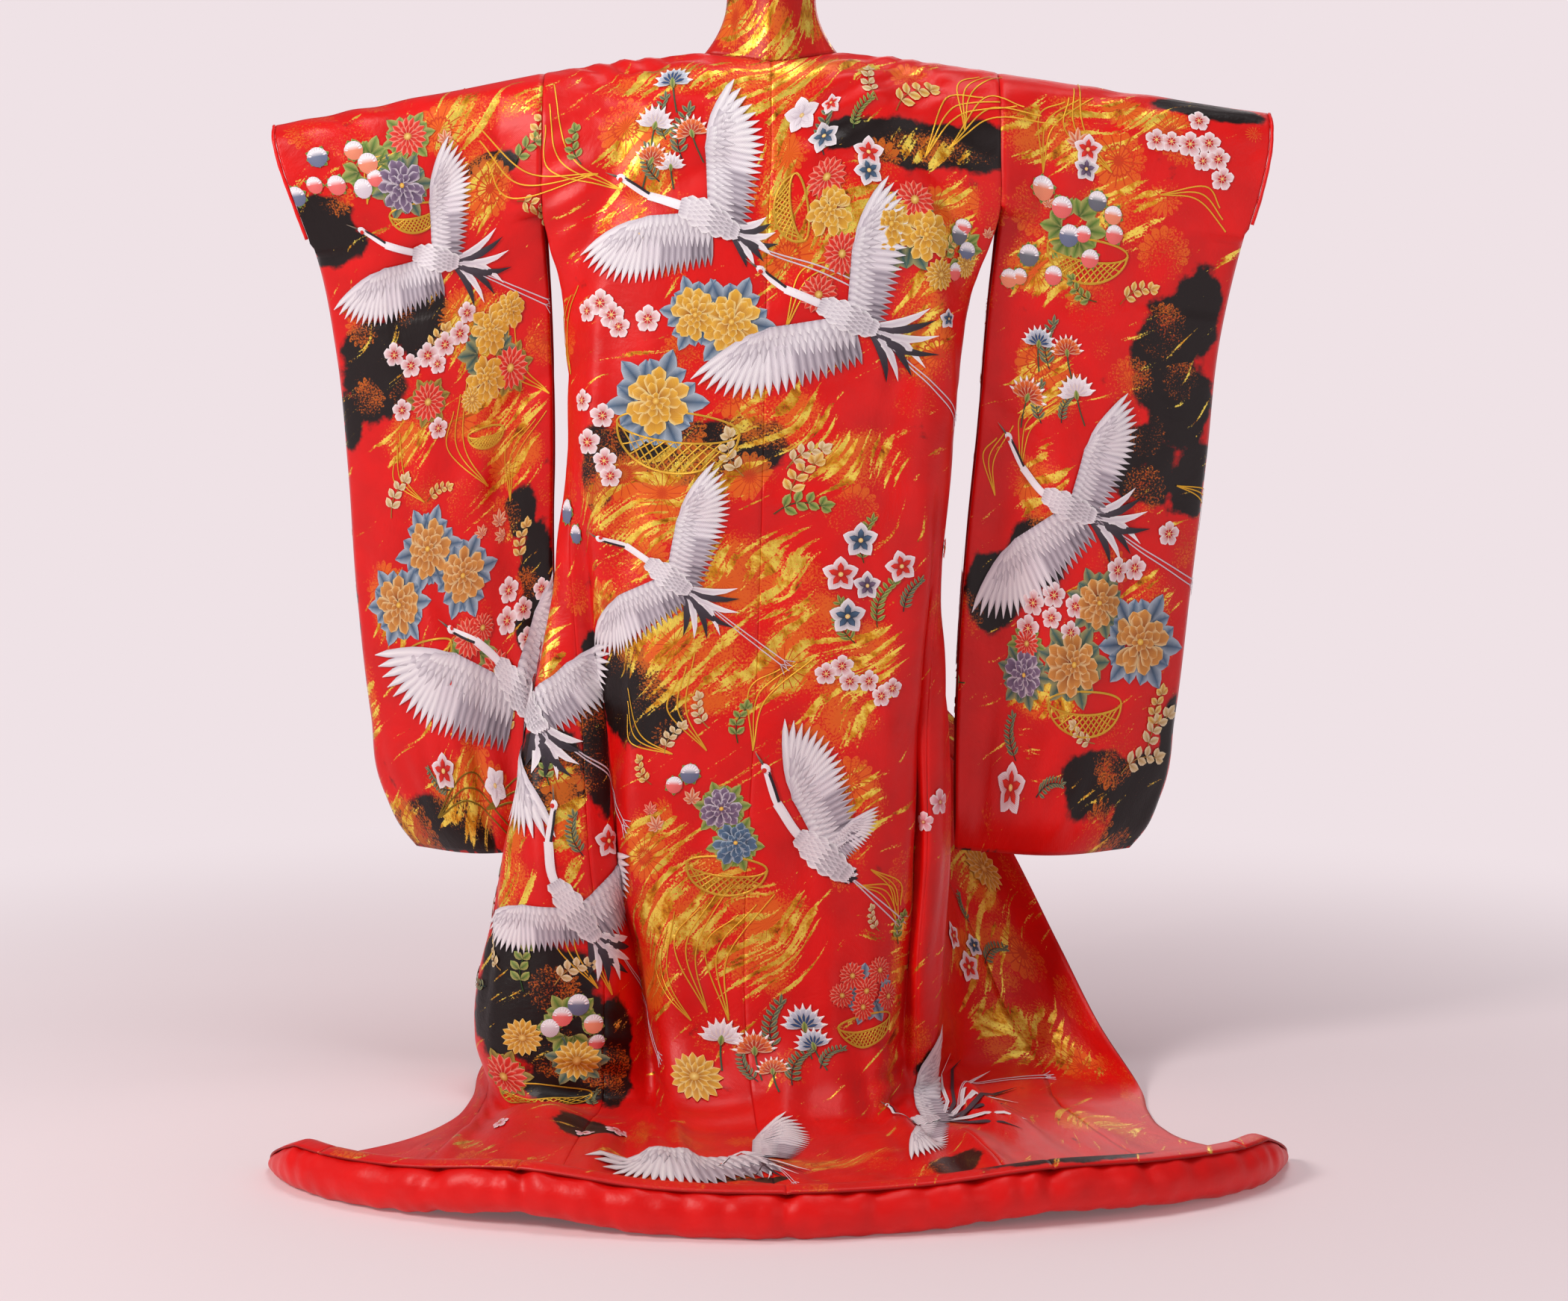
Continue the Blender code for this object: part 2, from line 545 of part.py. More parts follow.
def sleeve_middle(drape, rows, side, a, b):
    """Back (b < 0) or front (b > 0) layer of a sleeve; a from the armhole to the cuff."""
    knots = np.array([row.b for row in rows])
    table = np.array([row[1:] for row in rows]) / 1000
    outer, outer_z, inner, inner_z, mid, half = curve_at(knots, table, abs(b))
    share = a / SLEEVE_W
    x = inner + (outer - inner) * share
    z = inner_z + (outer_z - inner_z) * share
    sag = 0.012 * math.sin(math.pi * share) * min(1.0, 4 * abs(b))
    bend = 0.035 * share**2 * min(1.0, max(0.0, abs(b) - 0.2) / 0.5)
    ripple = 0.008 * math.sin(2.2 * math.pi * share + 0.6) * min(1.0, max(0.0, abs(b) - 0.15) / 0.4)
    closing = min(1.0, 4 * (1 - share)) if abs(b) > CUFF + 0.02 else 1.0
    taper = 1.0 - 0.22 * share if abs(b) < 0.3 else 1.0
    depth = half * math.sqrt(max(closing, 0.0)) * taper
    y = mid + bend + ripple + (depth if b > 0 else -depth)
    join = max(0.0, 1 - a / 0.06) if abs(b) <= ARMHOLE + 1e-9 else 0.0
    spot = np.array([side * x, y, z - sag * 0.5])
    if join > 0:
        sheet = "back" if b <= 0 else ("right" if side > 0 else "left")
        seam = drape.point(side * BACK_W, abs(b), sheet)
        seam = seam + np.array([side * (a + 2 * SEAM), 0, (z - inner_z)])
        spot = spot * (1 - join) + seam * join
    return spot


def make_sleeve(drape, side, rows, material):
    """A bag of one cloth folded over the arm, sewn at its outer edge and bottom."""
    knots = [*CUFF_ROWS, ARMHOLE]
    knots += [ARMHOLE + 0.70 * k / 11 for k in range(1, 12)] + [0.94, 0.97, SLEEVE_L]
    down = [-b for b in reversed(knots)] + knots[1:]
    columns = [SLEEVE_W * k / SLEEVE_CELLS for k in range(SLEEVE_CELLS)]
    columns += [SLEEVE_W * 0.955, SLEEVE_W]
    bm = flat_piece(columns, down)
    spots = {}
    for vert in bm.verts:
        i, j = round(vert.co.x), round(vert.co.y)
        spot = sleeve_middle(drape, rows, side, columns[i], down[j])
        if abs(down[j]) == SLEEVE_L or (i == len(columns) - 1 and abs(down[j]) > CUFF + 0.01):
            other = sleeve_middle(drape, rows, side, columns[i], -down[j])
            spot = (spot + other) / 2
        spots[vert] = (i, j, spot)
    for vert, (_, _, spot) in spots.items():
        vert.co = spot
    bmesh.ops.remove_doubles(bm, verts=list(bm.verts), dist=1e-5)
    bmesh.ops.recalc_face_normals(bm, faces=list(bm.faces))
    bm.normal_update()
    probe = max(bm.verts, key=lambda v: v.co.z)
    way = 1.0 if probe.normal.z > 0 else -1.0
    normals = {}
    for vert in bm.verts:
        normal = np.array(vert.normal) * way
        if vert.is_boundary and abs(abs(vert.co.x) - BACK_W) < 0.003:
            normal[0] = 0.0
            normal /= np.linalg.norm(normal)
        normals[vert] = normal
    outer = list(bm.verts)
    middles = {tuple(round(c, 7) for c in v.co): normals[v] for v in outer}
    made = bmesh.ops.extrude_face_region(bm, geom=list(bm.faces), use_keep_orig=True)
    inner = [g for g in made["geom"] if isinstance(g, bmesh.types.BMVert)]
    for group, turn in ((outer, 0.5), (inner, -0.5)):
        for vert in group:
            normal = middles[tuple(round(c, 7) for c in vert.co)]
            spot = np.array(vert.co) + normal * WALL * turn
            vert.co = (spot[0], spot[1], spot[2] - HELD_AT)
    return solid("sleeve_right" if side > 0 else "sleeve_left", bm, material)


def make_roll(drape, material):
    """The padded hem: a closed bolster that thins to a point at each front corner."""
    columns = body_columns()
    half = [0.0] + columns[1:]
    half += [BACK_W + (c - NECK_W) * FRONT_W / FRONT_TOP_W for c in columns[NECK_CELLS + 1:]]
    half += [FRONT_SEAM + OKUMI_W * k / OKUMI_CELLS for k in range(1, OKUMI_CELLS + 1)]
    stations = [-s for s in reversed(half)] + half[1:]
    bm = bmesh.new()
    rings = []
    for s in stations:
        ring = bmesh.ops.create_circle(bm, segments=ROLL_SIDES, radius=1.0)["verts"]
        radius = roll_radius(s)
        for vert in ring:
            angle = math.degrees(math.atan2(vert.co.y, vert.co.x))
            angle = 30 * round(angle / 30)
            spot = drape.hem.on_roll(s, angle, radius)
            vert.co = (spot[0], spot[1], max(spot[2], 0.0) - HELD_AT)
        edges = [e for e in bm.edges if all(v in ring for v in e.verts)]
        rings.append(edges)
    for first, second in zip(rings, rings[1:]):
        bmesh.ops.bridge_loops(bm, edges=first + second)
    for edges in (rings[0], rings[-1]):
        bmesh.ops.contextual_create(bm, geom=edges)
    bmesh.ops.triangulate(bm, faces=[f for f in bm.faces if len(f.verts) > 4])
    return solid("hem_roll", bm, material)


def make_cuff(drape, side, rows, material):
    """The red piping along the hand opening."""
    down = [-b for b in reversed(CUFF_ROWS)] + list(CUFF_ROWS[1:])
    bm = bmesh.new()
    rings = []
    for b in down:
        spot = sleeve_middle(drape, rows, side, SLEEVE_W, b)
        near = sleeve_middle(drape, rows, side, SLEEVE_W * 0.97, b)
        out = (spot - near) / np.linalg.norm(spot - near)
        step = 0.01
        run = (sleeve_middle(drape, rows, side, SLEEVE_W, min(b + step, CUFF))
               - sleeve_middle(drape, rows, side, SLEEVE_W, max(b - step, -CUFF)))
        run /= np.linalg.norm(run)
        out = out - run * float(np.dot(out, run))
        out /= np.linalg.norm(out)
        cross = np.cross(run, out)
        centre = spot + out * (PIPING_R + SEAM)
        ring = bmesh.ops.create_circle(bm, segments=6, radius=PIPING_R)["verts"]
        for vert in ring:
            place = centre + out * vert.co.x + cross * vert.co.y
            vert.co = (place[0], place[1], place[2] - HELD_AT)
        rings.append([e for e in bm.edges if all(v in ring for v in e.verts)])
    for first, second in zip(rings, rings[1:]):
        bmesh.ops.bridge_loops(bm, edges=first + second)
    for edges in (rings[0], rings[-1]):
        bmesh.ops.contextual_create(bm, geom=edges)
    return solid("cuff_piping_right" if side > 0 else "cuff_piping_left", bm, material)


def main():
    """Build every piece."""
    clear_scene()
    brocade = finish("red_brocade", (0.62, 0.012, 0.006), 0.45)
    gold = finish("gold_red_brocade", (0.66, 0.08, 0.01), 0.38, 0.2)
    satin = finish("red_satin", (0.78, 0.004, 0.002), 0.35)
    drape = Drape()
    for side, rows in ((1, SLEEVE_RIGHT), (-1, SLEEVE_LEFT)):
        make_body(drape, side, brocade)
        make_okumi(drape, side, brocade)
        make_sleeve(drape, side, rows, brocade)
        make_cuff(drape, side, rows, satin)
    make_collar(drape, gold)
    make_roll(drape, satin)


main()
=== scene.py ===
"""Looks of a wedding uchikake: red satin brocade with foil, clouds of black and embroidery.

The cloth is one chart. u runs across it from the centre back, to the right as seen from
behind, and on over the side seams to the front edges; v runs up, with 0 at the shoulder.
A sleeve's chart carries on past the armhole. Every panel, foil patch and stitch is placed
on the chart, and the chart is draped by the same tables as the solids. Sizes are metres.
"""

from __future__ import annotations

import logging
import math
from dataclasses import dataclass, field
from enum import Enum
from typing import Any, Callable, ClassVar, Iterable, NamedTuple, Optional, Sequence

import bmesh
import bpy
import numpy as np
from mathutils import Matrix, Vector


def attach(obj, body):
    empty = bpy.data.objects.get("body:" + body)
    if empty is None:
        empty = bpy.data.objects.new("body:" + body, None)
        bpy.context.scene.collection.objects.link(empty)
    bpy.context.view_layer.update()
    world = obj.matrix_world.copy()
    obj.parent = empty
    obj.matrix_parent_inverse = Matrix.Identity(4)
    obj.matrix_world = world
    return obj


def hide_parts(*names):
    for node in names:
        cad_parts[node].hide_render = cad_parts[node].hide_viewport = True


LOG = logging.getLogger("uchikake")
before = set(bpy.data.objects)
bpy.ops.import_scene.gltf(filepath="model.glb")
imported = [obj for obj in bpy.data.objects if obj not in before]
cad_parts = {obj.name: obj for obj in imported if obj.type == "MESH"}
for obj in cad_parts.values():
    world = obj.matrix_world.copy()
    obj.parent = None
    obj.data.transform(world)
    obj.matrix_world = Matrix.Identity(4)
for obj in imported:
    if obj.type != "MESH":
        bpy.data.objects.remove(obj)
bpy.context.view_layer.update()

HELD_AT = 1.36  # height of the shoulders over the floor
WALL = 0.0024  # brocade and lining
BACK_W = 0.305  # back panel, centre seam to side seam
NECK_W = 0.090  # half of the neck slit
FRONT_TOP_W = BACK_W - NECK_W
FRONT_W = 0.270  # front panel below the neck
OKUMI_W = 0.160  # overlap panel
FRONT_SEAM = BACK_W + FRONT_W
EDGE = FRONT_SEAM + OKUMI_W
NECK_DROP = 0.23  # where the front panel has its full width
OKUMI_TOP = 0.24
COLLAR_END = 0.98
COLLAR_W = 0.060
ARMHOLE = 0.20
SIDE_OPEN = 0.33
HEM_T = 1.90
SLEEVE_W = 0.360
SLEEVE_L = 0.990
CUFF = 0.175  # half of the hand opening
SEAM = 0.0004  # what lies between two sewn panels
CLOSED = 0.00006  # half of what shows between two sewn edges
VALLEY = (0.0012, 0.0026)  # how deep and wide a sewn seam draws in
ROLL_R = 0.028  # hem roll
ROLL_GAP = 0.0009
ROLL_TAPER = 0.11  # where it thins out at the front corners
PIPING_R = 0.0025

BACK_S = (0.0, 0.10, 0.165, 0.22, 0.262, 0.305)
FRONT_S = (0.305, 0.35, 0.40, 0.46, 0.52, 0.575, 0.655, 0.735)


class Level(NamedTuple):
    """Plan places of the cloth in mm at one length t below the shoulder, z its height."""

    t: float
    z: tuple
    centre: tuple
    back: tuple
    front: tuple


RIGHT: tuple[Level, ...] = (
    Level(0.00, (1362, 1377, 1372, 1364, 1358, 1351), (0, -52),
          ((99, -5), (163, 0), (218, 0), (261, 0), (303, 0)),
          ((303, 0), (259, 0), (210, 0), (151, 0), (92, 0), (38, 0), (-41, 0), (-120, 0))),
    Level(0.03, (1337, 1363, 1358, 1350, 1344, 1337), (0, -66),
          ((99, -34), (163, -29), (218, -28), (261, -28), (303, -28)),
          ((303, 28), (260, 28), (212, 28), (155, 30), (99, 32), (50, 34), (-20, 36), (-90, 38))),
    Level(0.07, (1300, 1328, 1323, 1314, 1308, 1301), (0, -79),
          ((99, -62), (163, -56), (219, -53), (262, -52), (303, -51)),
          ((303, 50), (261, 53), (215, 57), (162, 60), (109, 62), (62, 63), (0, 66), (-60, 70))),
    Level(0.13, (1241, 1268, 1263, 1254, 1248, 1241), (0, -93),
          ((99, -84), (163, -78), (219, -71), (262, -65), (303, -60)),
          ((303, 57), (262, 66), (219, 75), (170, 82), (120, 87), (76, 90), (18, 94), (-30, 98))),
    Level(0.20, (1171, 1195, 1190, 1184, 1178, 1171), (-3, -103),
          ((97, -98), (162, -93), (218, -82), (260, -70), (303, -58)),
          ((303, 48), (264, 68), (224, 84), (178, 96), (131, 104), (90, 109), (35, 114), (-8, 118))),
    Level(0.33, (1042,), (-7, -112),
          ((97, -108), (160, -101), (211, -84), (244, -58), (263, -22)),
          ((263, -22), (254, 21), (230, 62), (188, 94), (142, 116), (102, 130), (54, 142), (24, 152))),
    Level(0.50, (875,), (-10, -117),
          ((94, -113), (158, -107), (208, -90), (235, -64), (243, -26)),
          ((243, -26), (235, 14), (216, 55), (178, 94), (134, 122), (100, 144), (66, 166), (46, 190))),
    Level(0.67, (708,), (-14, -122),
          ((90, -118), (155, -112), (203, -90), (212, -62), (226, -42)),
          ((226, -42), (224, 0), (211, 48), (180, 98), (138, 140), (104, 172), (76, 206), (62, 240))),
    Level(0.87, (510,), (-21, -130),
          ((84, -126), (148, -119), (182, -84), (188, -52), (206, -72)),
          ((206, -72), (232, -48), (231, 0), (214, 52), (188, 106), (164, 156), (150, 212), (178, 250))),
    Level(1.07, (312,), (-32, -142),
          ((67, -139), (128, -134), (170, -102), (186, -66), (204, -92)),
          ((204, -92), (234, -66), (234, -18), (224, 40), (214, 96), (216, 150), (262, 200), (320, 197))),
    Level(1.22, (163,), (-35, -160),
          ((64, -157), (127, -150), (164, -118), (178, -88), (191, -112)),
          ((191, -112), (221, -90), (226, -42), (234, 18), (252, 74), (286, 114), (344, 128), (396, 96))),
    Level(1.315, (72,), (-30, -188),
          ((70, -182), (129, -170), (158, -132), (171, -104), (190, -114)),
          ((190, -114), (217, -92), (222, -40), (238, 20), (276, 66), (324, 88), (394, 72), (442, 28))),
    Level(1.40, (12,), (-20, -250),
          ((80, -242), (136, -218), (160, -170), (174, -138), (192, -124)),
          ((192, -124), (214, -98), (222, -46), (246, 16), (306, 48), (366, 50), (438, 2), (484, -60))),
)
LEFT: tuple[Level, ...] = (
    *RIGHT[:5],
    Level(0.33, (1042,), (-7, -112),
          ((103, -108), (165, -101), (217, -85), (252, -62), (276, -28)),
          ((276, -28), (266, 16), (238, 58), (192, 94), (144, 116), (102, 130), (54, 142), (24, 152))),
    Level(0.50, (875,), (-10, -117),
          ((109, -113), (170, -108), (220, -97), (252, -76), (268, -42)),
          ((268, -42), (262, 2), (236, 44), (196, 84), (152, 116), (110, 142), (70, 168), (50, 190))),
    Level(0.67, (708,), (-14, -122),
          ((113, -118), (177, -112), (228, -96), (243, -64), (266, -58)),
          ((266, -58), (284, -36), (258, 2), (224, 48), (188, 96), (148, 140), (98, 184), (68, 220))),
    Level(0.87, (510,), (-21, -130),
          ((120, -125), (184, -116), (208, -78), (222, -54), (250, -76)),
          ((250, -76), (288, -78), (318, -52), (272, -20), (228, 20), (204, 70), (170, 132), (132, 184))),
    Level(1.07, (312,), (-32, -142),
          ((132, -140), (182, -122), (198, -76), (212, -90), (236, -118)),
          ((236, -118), (278, -124), (326, -108), (358, -74), (312, -40), (258, -8),
           (228, 60), (218, 134))),
    Level(1.22, (163,), (-35, -160),
          ((134, -154), (163, -108), (174, -76), (190, -102), (217, -132)),
          ((217, -132), (260, -141), (311, -134), (366, -108), (382, -56), (334, -10),
           (300, 58), (288, 132))),
    Level(1.315, (72,), (-30, -188),
          ((130, -174), (154, -122), (165, -90), (184, -112), (217, -142)),
          ((217, -142), (261, -150), (311, -144), (368, -120), (388, -66), (362, -16),
           (344, 44), (338, 110))),
    Level(1.40, (12,), (-20, -250),
          ((120, -232), (146, -170), (160, -130), (184, -138), (217, -156)),
          ((217, -156), (262, -164), (308, -158), (348, -136), (366, -100), (372, -56),
           (381, 2), (390, 58))),
)


class HemPoint(NamedTuple):
    """The hem roll's axis on the floor and its lift, in mm."""

    s: float
    x: float
    y: float
    lift: float


HEM = (
    HemPoint(-0.735, -597, -448, 2), HemPoint(-0.70, -582, -478, 1), HemPoint(-0.60, -528, -557, 0),
    HemPoint(-0.45, -413, -645, 4), HemPoint(-0.30, -275, -700, 15), HemPoint(-0.15, -132, -734, 2),
    HemPoint(0.0, 16, -746, 0), HemPoint(0.15, 164, -722, 2), HemPoint(0.30, 307, -690, 13),
    HemPoint(0.45, 441, -634, 8), HemPoint(0.60, 556, -533, 0), HemPoint(0.70, 604, -447, 1),
    HemPoint(0.735, 620, -415, 2),
)


class Swell(NamedTuple):
    """A swell of the train; q runs from the floor's first touch (0) to the roll (1)."""

    s: float
    q: float
    high: float
    wide: float
    long: float


TRAIN = (
    Swell(-0.37, 0.30, 0.040, 0.055, 0.30), Swell(-0.27, 0.62, 0.022, 0.040, 0.30),
    Swell(-0.15, 0.55, 0.014, 0.045, 0.30), Swell(0.03, 0.60, 0.012, 0.050, 0.25),
    Swell(0.19, 0.40, 0.036, 0.040, 0.28), Swell(0.31, 0.62, 0.026, 0.045, 0.26),
    Swell(0.42, 0.45, 0.020, 0.045, 0.30), Swell(-0.50, 0.55, 0.014, 0.050, 0.30),
    Swell(0.55, 0.60, 0.012, 0.050, 0.30),
)
TRAIN_T = (1.50, 1.60, 1.70, 1.78)  # levels on the floor
RISE = ((1.825, 0.060, 0.013), (1.845, 0.040, 0.028))  # t, inside of the axis, height
WRAP = ((1.862, 150), (1.876, 120), (1.889, 90), (HEM_T, 60))  # t, angle on the roll


class SleeveRow(NamedTuple):
    """Outer and inner edge of a sleeve in mm, its middle to the front and half its depth."""

    b: float
    outer: float
    outer_z: float
    inner: float
    inner_z: float
    mid: float
    half: float


SLEEVE_RIGHT = (
    SleeveRow(0.00, 664, 1297, 303, 1351, 0, 0), SleeveRow(0.03, 664, 1283, 303, 1337, 0, 26),
    SleeveRow(0.07, 662, 1250, 303, 1301, 0, 36), SleeveRow(0.13, 650, 1192, 303, 1241, 0, 38),
    SleeveRow(0.20, 630, 1124, 303, 1171, 2, 34), SleeveRow(0.33, 603, 996, 291, 1042, 10, 27),
    SleeveRow(0.50, 588, 830, 278, 875, 20, 23), SleeveRow(0.67, 570, 658, 262, 708, 28, 22),
    SleeveRow(0.84, 549, 480, 251, 530, 34, 24), SleeveRow(0.94, 530, 374, 248, 405, 36, 20),
    SleeveRow(0.975, 507, 325, 248, 337, 36, 14), SleeveRow(0.99, 488, 303, 248, 307, 36, 0),
)
SLEEVE_LEFT = (
    SleeveRow(0.00, 663, 1281, 303, 1351, 0, 0), SleeveRow(0.03, 661, 1266, 303, 1337, 0, 26),
    SleeveRow(0.07, 653, 1233, 303, 1301, 0, 36), SleeveRow(0.13, 632, 1174, 303, 1241, 0, 38),
    SleeveRow(0.20, 608, 1104, 303, 1171, 6, 34), SleeveRow(0.33, 586, 976, 297, 1042, 22, 26),
    SleeveRow(0.50, 575, 818, 294, 875, 42, 22), SleeveRow(0.67, 567, 652, 296, 708, 56, 21),
    SleeveRow(0.84, 548, 480, 292, 528, 60, 23), SleeveRow(0.94, 530, 376, 288, 398, 60, 19),
    SleeveRow(0.975, 505, 325, 286, 336, 60, 13), SleeveRow(0.99, 486, 302, 286, 306, 60, 0),
)


class CollarRow(NamedTuple):
    """The collar's free edge: how it leans in and stands up, and how flat it lies."""

    along: float
    lean: float
    up: float
    flat: float


COLLAR = (
    CollarRow(0.00, 0.008, 0.094, 0.0), CollarRow(0.05, 0.018, 0.091, 0.0),
    CollarRow(0.09, 0.034, 0.080, 0.0), CollarRow(0.13, 0.044, 0.056, 0.06),
    CollarRow(0.19, 0.050, 0.028, 0.35), CollarRow(0.28, 0.056, 0.010, 0.80),
    CollarRow(0.36, 0.056, 0.0, 1.0), CollarRow(1.10, 0.056, 0.0, 1.0),
)


def curve(knots: Sequence[float], values: Any, at: Any) -> np.ndarray:
    """Places on the smooth curve through values at knots; it runs on straight past its ends.

    Args:
        knots: rising places along the curve.
        values: one row for each knot.
        at: one place, or an array of them.

    Returns:
        One row for each place in at.
    """
    knots, values = np.asarray(knots, float), np.asarray(values, float)
    at = np.atleast_1d(np.asarray(at, float))
    step = np.diff(knots)
    shape = (-1,) + (1,) * (values.ndim - 1)
    rise = np.diff(values, axis=0) / step.reshape(shape)
    inner = (rise[:-1] * step[1:].reshape(shape) + rise[1:] * step[:-1].reshape(shape))
    inner = inner / (step[:-1] + step[1:]).reshape(shape)
    slope = np.concatenate([rise[:1], inner, rise[-1:]])
    i = np.clip(np.searchsorted(knots, at, side="right") - 1, 0, len(knots) - 2)
    inside = np.clip(at, knots[0], knots[-1])
    w = ((inside - knots[i]) / step[i]).reshape(shape)
    wide = step[i].reshape(shape)
    out = (
        (2 * w**3 - 3 * w**2 + 1) * values[i] + (w**3 - 2 * w**2 + w) * wide * slope[i]
        + (3 * w**2 - 2 * w**3) * values[i + 1] + (w**3 - w**2) * wide * slope[i + 1]
    )
    past = (at - inside).reshape(shape)
    end = np.where((at < knots[0]).reshape(shape), slope[0], slope[-1])
    return out + past * end


def soft(x: Any, low: float, high: float) -> Any:
    """Smooth step of x from 0 at low to 1 at high."""
    w = np.clip((np.asarray(x, float) - low) / (high - low), 0.0, 1.0)
    return w * w * (3 - 2 * w)


def unit(v: np.ndarray) -> np.ndarray:
    """Unit vectors along the last axis."""
    return v / np.maximum(np.linalg.norm(v, axis=-1, keepdims=True), 1e-12)


def roll_radius(s: Any) -> Any:
    """The hem roll thins to a point over its last hand's breadth."""
    return ROLL_R * (0.12 + 0.88 * np.clip((EDGE - np.abs(s)) / ROLL_TAPER, 0.0, 1.0) ** 0.7)


class Hem:
    """The line of the hem roll on the floor."""

    knots = np.array([p.s for p in HEM])
    table = np.array([(p.x, p.y, p.lift) for p in HEM]) / 1000

    def frame(self, s: Any) -> tuple[np.ndarray, np.ndarray]:
        """Axis places and the level directions from the roll towards the train."""
        s = np.atleast_1d(s)
        along = (curve(self.knots, self.table, s + 0.002) - curve(self.knots, self.table, s - 0.002))[:, :2]
        along = unit(along)
        spot = curve(self.knots, self.table, s)
        centre = np.column_stack([spot[:, 0], spot[:, 1], roll_radius(s) - 0.002 + spot[:, 2]])
        return centre, np.column_stack([-along[:, 1], along[:, 0], 0 * s])

    def on_roll(self, s: Any, angle: Any, radius: Any) -> np.ndarray:
        """Points round the roll, the angle in degrees taken up from its outer side."""
        centre, inward = self.frame(s)
        turn = np.radians(angle)
        out = centre - inward * (np.cos(turn) * radius * np.ones(len(centre)))[:, None]
        out[:, 2] += np.sin(turn) * radius
        return out


class Sheet(Enum):
    """The layer of the body's cloth above the side seams' tops."""

    BACK = 0
    RIGHT = 1
    LEFT = -1


class Drape:
    """Where the body's cloth runs in space, with z over the floor."""

    def __init__(self) -> None:
        """Read the tables into one row of knots and places for each level and layer."""
        self.hem = Hem()
        self.levels: list[tuple[float, Any]] = [
            (right.t, self.hanging(right, left)) for right, left in zip(RIGHT, LEFT)
        ]
        touch = self.levels[-1][1][Sheet.BACK]
        for t in TRAIN_T:
            q = (t - 1.40) / (TRAIN_T[-1] - 1.40)
            self.levels.append((t, self.lying(touch, q, 0.085, 0.0)))
        for t, inside, high in RISE:
            self.levels.append((t, self.lying(touch, 1.0, inside, high)))
        self.levels += WRAP
        self.knots = np.array([t for t, _ in self.levels])

    def hanging(self, right: Level, left: Level) -> dict:
        """The rows of one hanging level."""
        rows: dict = {}
        for side, level in ((1, right), (-1, left)):
            heights = level.z if len(level.z) > 1 else level.z * 6
            back = [(side * s, (side * x, y, z))
                    for s, (x, y), z in zip(BACK_S[1:], level.back, heights[1:])]
            front_z = heights[:0:-1] + (heights[1],) * 3 if len(level.z) > 1 else level.z * 8
            front = [(side * s, (side * x, y, z))
                     for s, (x, y), z in zip(FRONT_S, level.front, front_z)]
            (s0, p0), (s1, p1) = front[-2], front[-1]
            more = tuple(b + 0.8 * (b - a) for a, b in zip(p0, p1))
            rows[side] = (back, front + [(s1 + 0.8 * (s1 - s0), more)])
        z = right.z[0]
        middle = [(0.0, (*right.centre, z))]
        back = rows[-1][0][::-1] + middle + rows[1][0]
        if right.t >= SIDE_OPEN - 1e-9:
            whole = self.arrays(rows[-1][1][:0:-1] + back + rows[1][1][1:])
            return {sheet: whole for sheet in Sheet}
        return {Sheet.BACK: self.arrays(back), Sheet.RIGHT: self.arrays(rows[1][1]),
                Sheet.LEFT: self.arrays(rows[-1][1][::-1])}

    def arrays(self, row: list) -> tuple[np.ndarray, np.ndarray]:
        """Knots and places of a row, in metres."""
        return np.array([s for s, _ in row]), np.array([p for _, p in row], float) / 1000

    def lying(self, touch: tuple, q: float, inside: float, high: float) -> dict:
        """A level on the floor, a share q of the way from the first touch to the roll."""
        knots, first = touch
        reach = np.clip(knots, -EDGE, EDGE)
        centre, inward = self.hem.frame(reach)
        thin = roll_radius(reach) / ROLL_R
        end = centre + inward * (inside * (0.35 + 0.65 * thin))[:, None]
        pull = np.maximum(0.0, (np.abs(knots) - 0.45) / (EDGE - 0.45))
        power = 1 + pull * np.where(knots > 0, 3.4, 2.6)
        lift = curve(self.hem.knots, self.hem.table, reach)[:, 2]
        x = first[:, 0] + (end[:, 0] - first[:, 0]) * q**power
        y = first[:, 1] + (end[:, 1] - first[:, 1]) * q ** (1 - 0.15 * pull)
        z = WALL / 2 + high * thin + lift * q**3
        if not high:
            for swell in TRAIN:
                away = ((knots - swell.s) / swell.wide) ** 2 + ((q - swell.q) / swell.long) ** 2
                z = z + swell.high * np.exp(-away) * min(1.0, 4 * (1 - q) + 0.15)
        row = (knots, np.column_stack([x, y, z]))
        return {sheet: row for sheet in Sheet}

    def across(self, level: int, s: np.ndarray, sheet: Sheet) -> np.ndarray:
        """Places at s on one level; the last levels lie round the hem roll."""
        rows = self.levels[level][1]
        if isinstance(rows, dict):
            return curve(*rows[sheet], s)
        reach = np.clip(s, -EDGE, EDGE)
        return self.hem.on_roll(reach, rows, roll_radius(reach) + WALL / 2 + ROLL_GAP)

    def joined(self, level: int, s: np.ndarray, sheet: Sheet) -> np.ndarray:
        """Above the side seam, the mean of back and front beside it."""
        share = (0.5 * np.maximum(0.0, 1 - np.abs(np.abs(s) - BACK_W) / 0.05))[:, None]
        own = self.across(level, s, sheet)
        if sheet is not Sheet.BACK:
            return own * (1 - share) + self.across(level, s, Sheet.BACK) * share
        other = np.where((s > 0)[:, None], self.across(level, s, Sheet.RIGHT),
                         self.across(level, s, Sheet.LEFT))
        return own * (1 - share) + other * share

    def row(self, s: np.ndarray, t: float, sheet: Sheet) -> np.ndarray:
        """The middle of the cloth along one row at t."""
        s = np.asarray(s, float)
        last = len(self.knots) - 1
        i = min(max(int(np.searchsorted(self.knots, t, side="right")) - 1, 0), last - 1)
        low, high = max(i - 1, 0), min(i + 2, last)
        places = [self.across(j, s, sheet) for j in range(low, high + 1)]
        if self.knots[low] < SIDE_OPEN <= t:
            places[0] = self.joined(low, s, sheet)
        return curve(self.knots[low:high + 1], np.stack(places), t)[0]


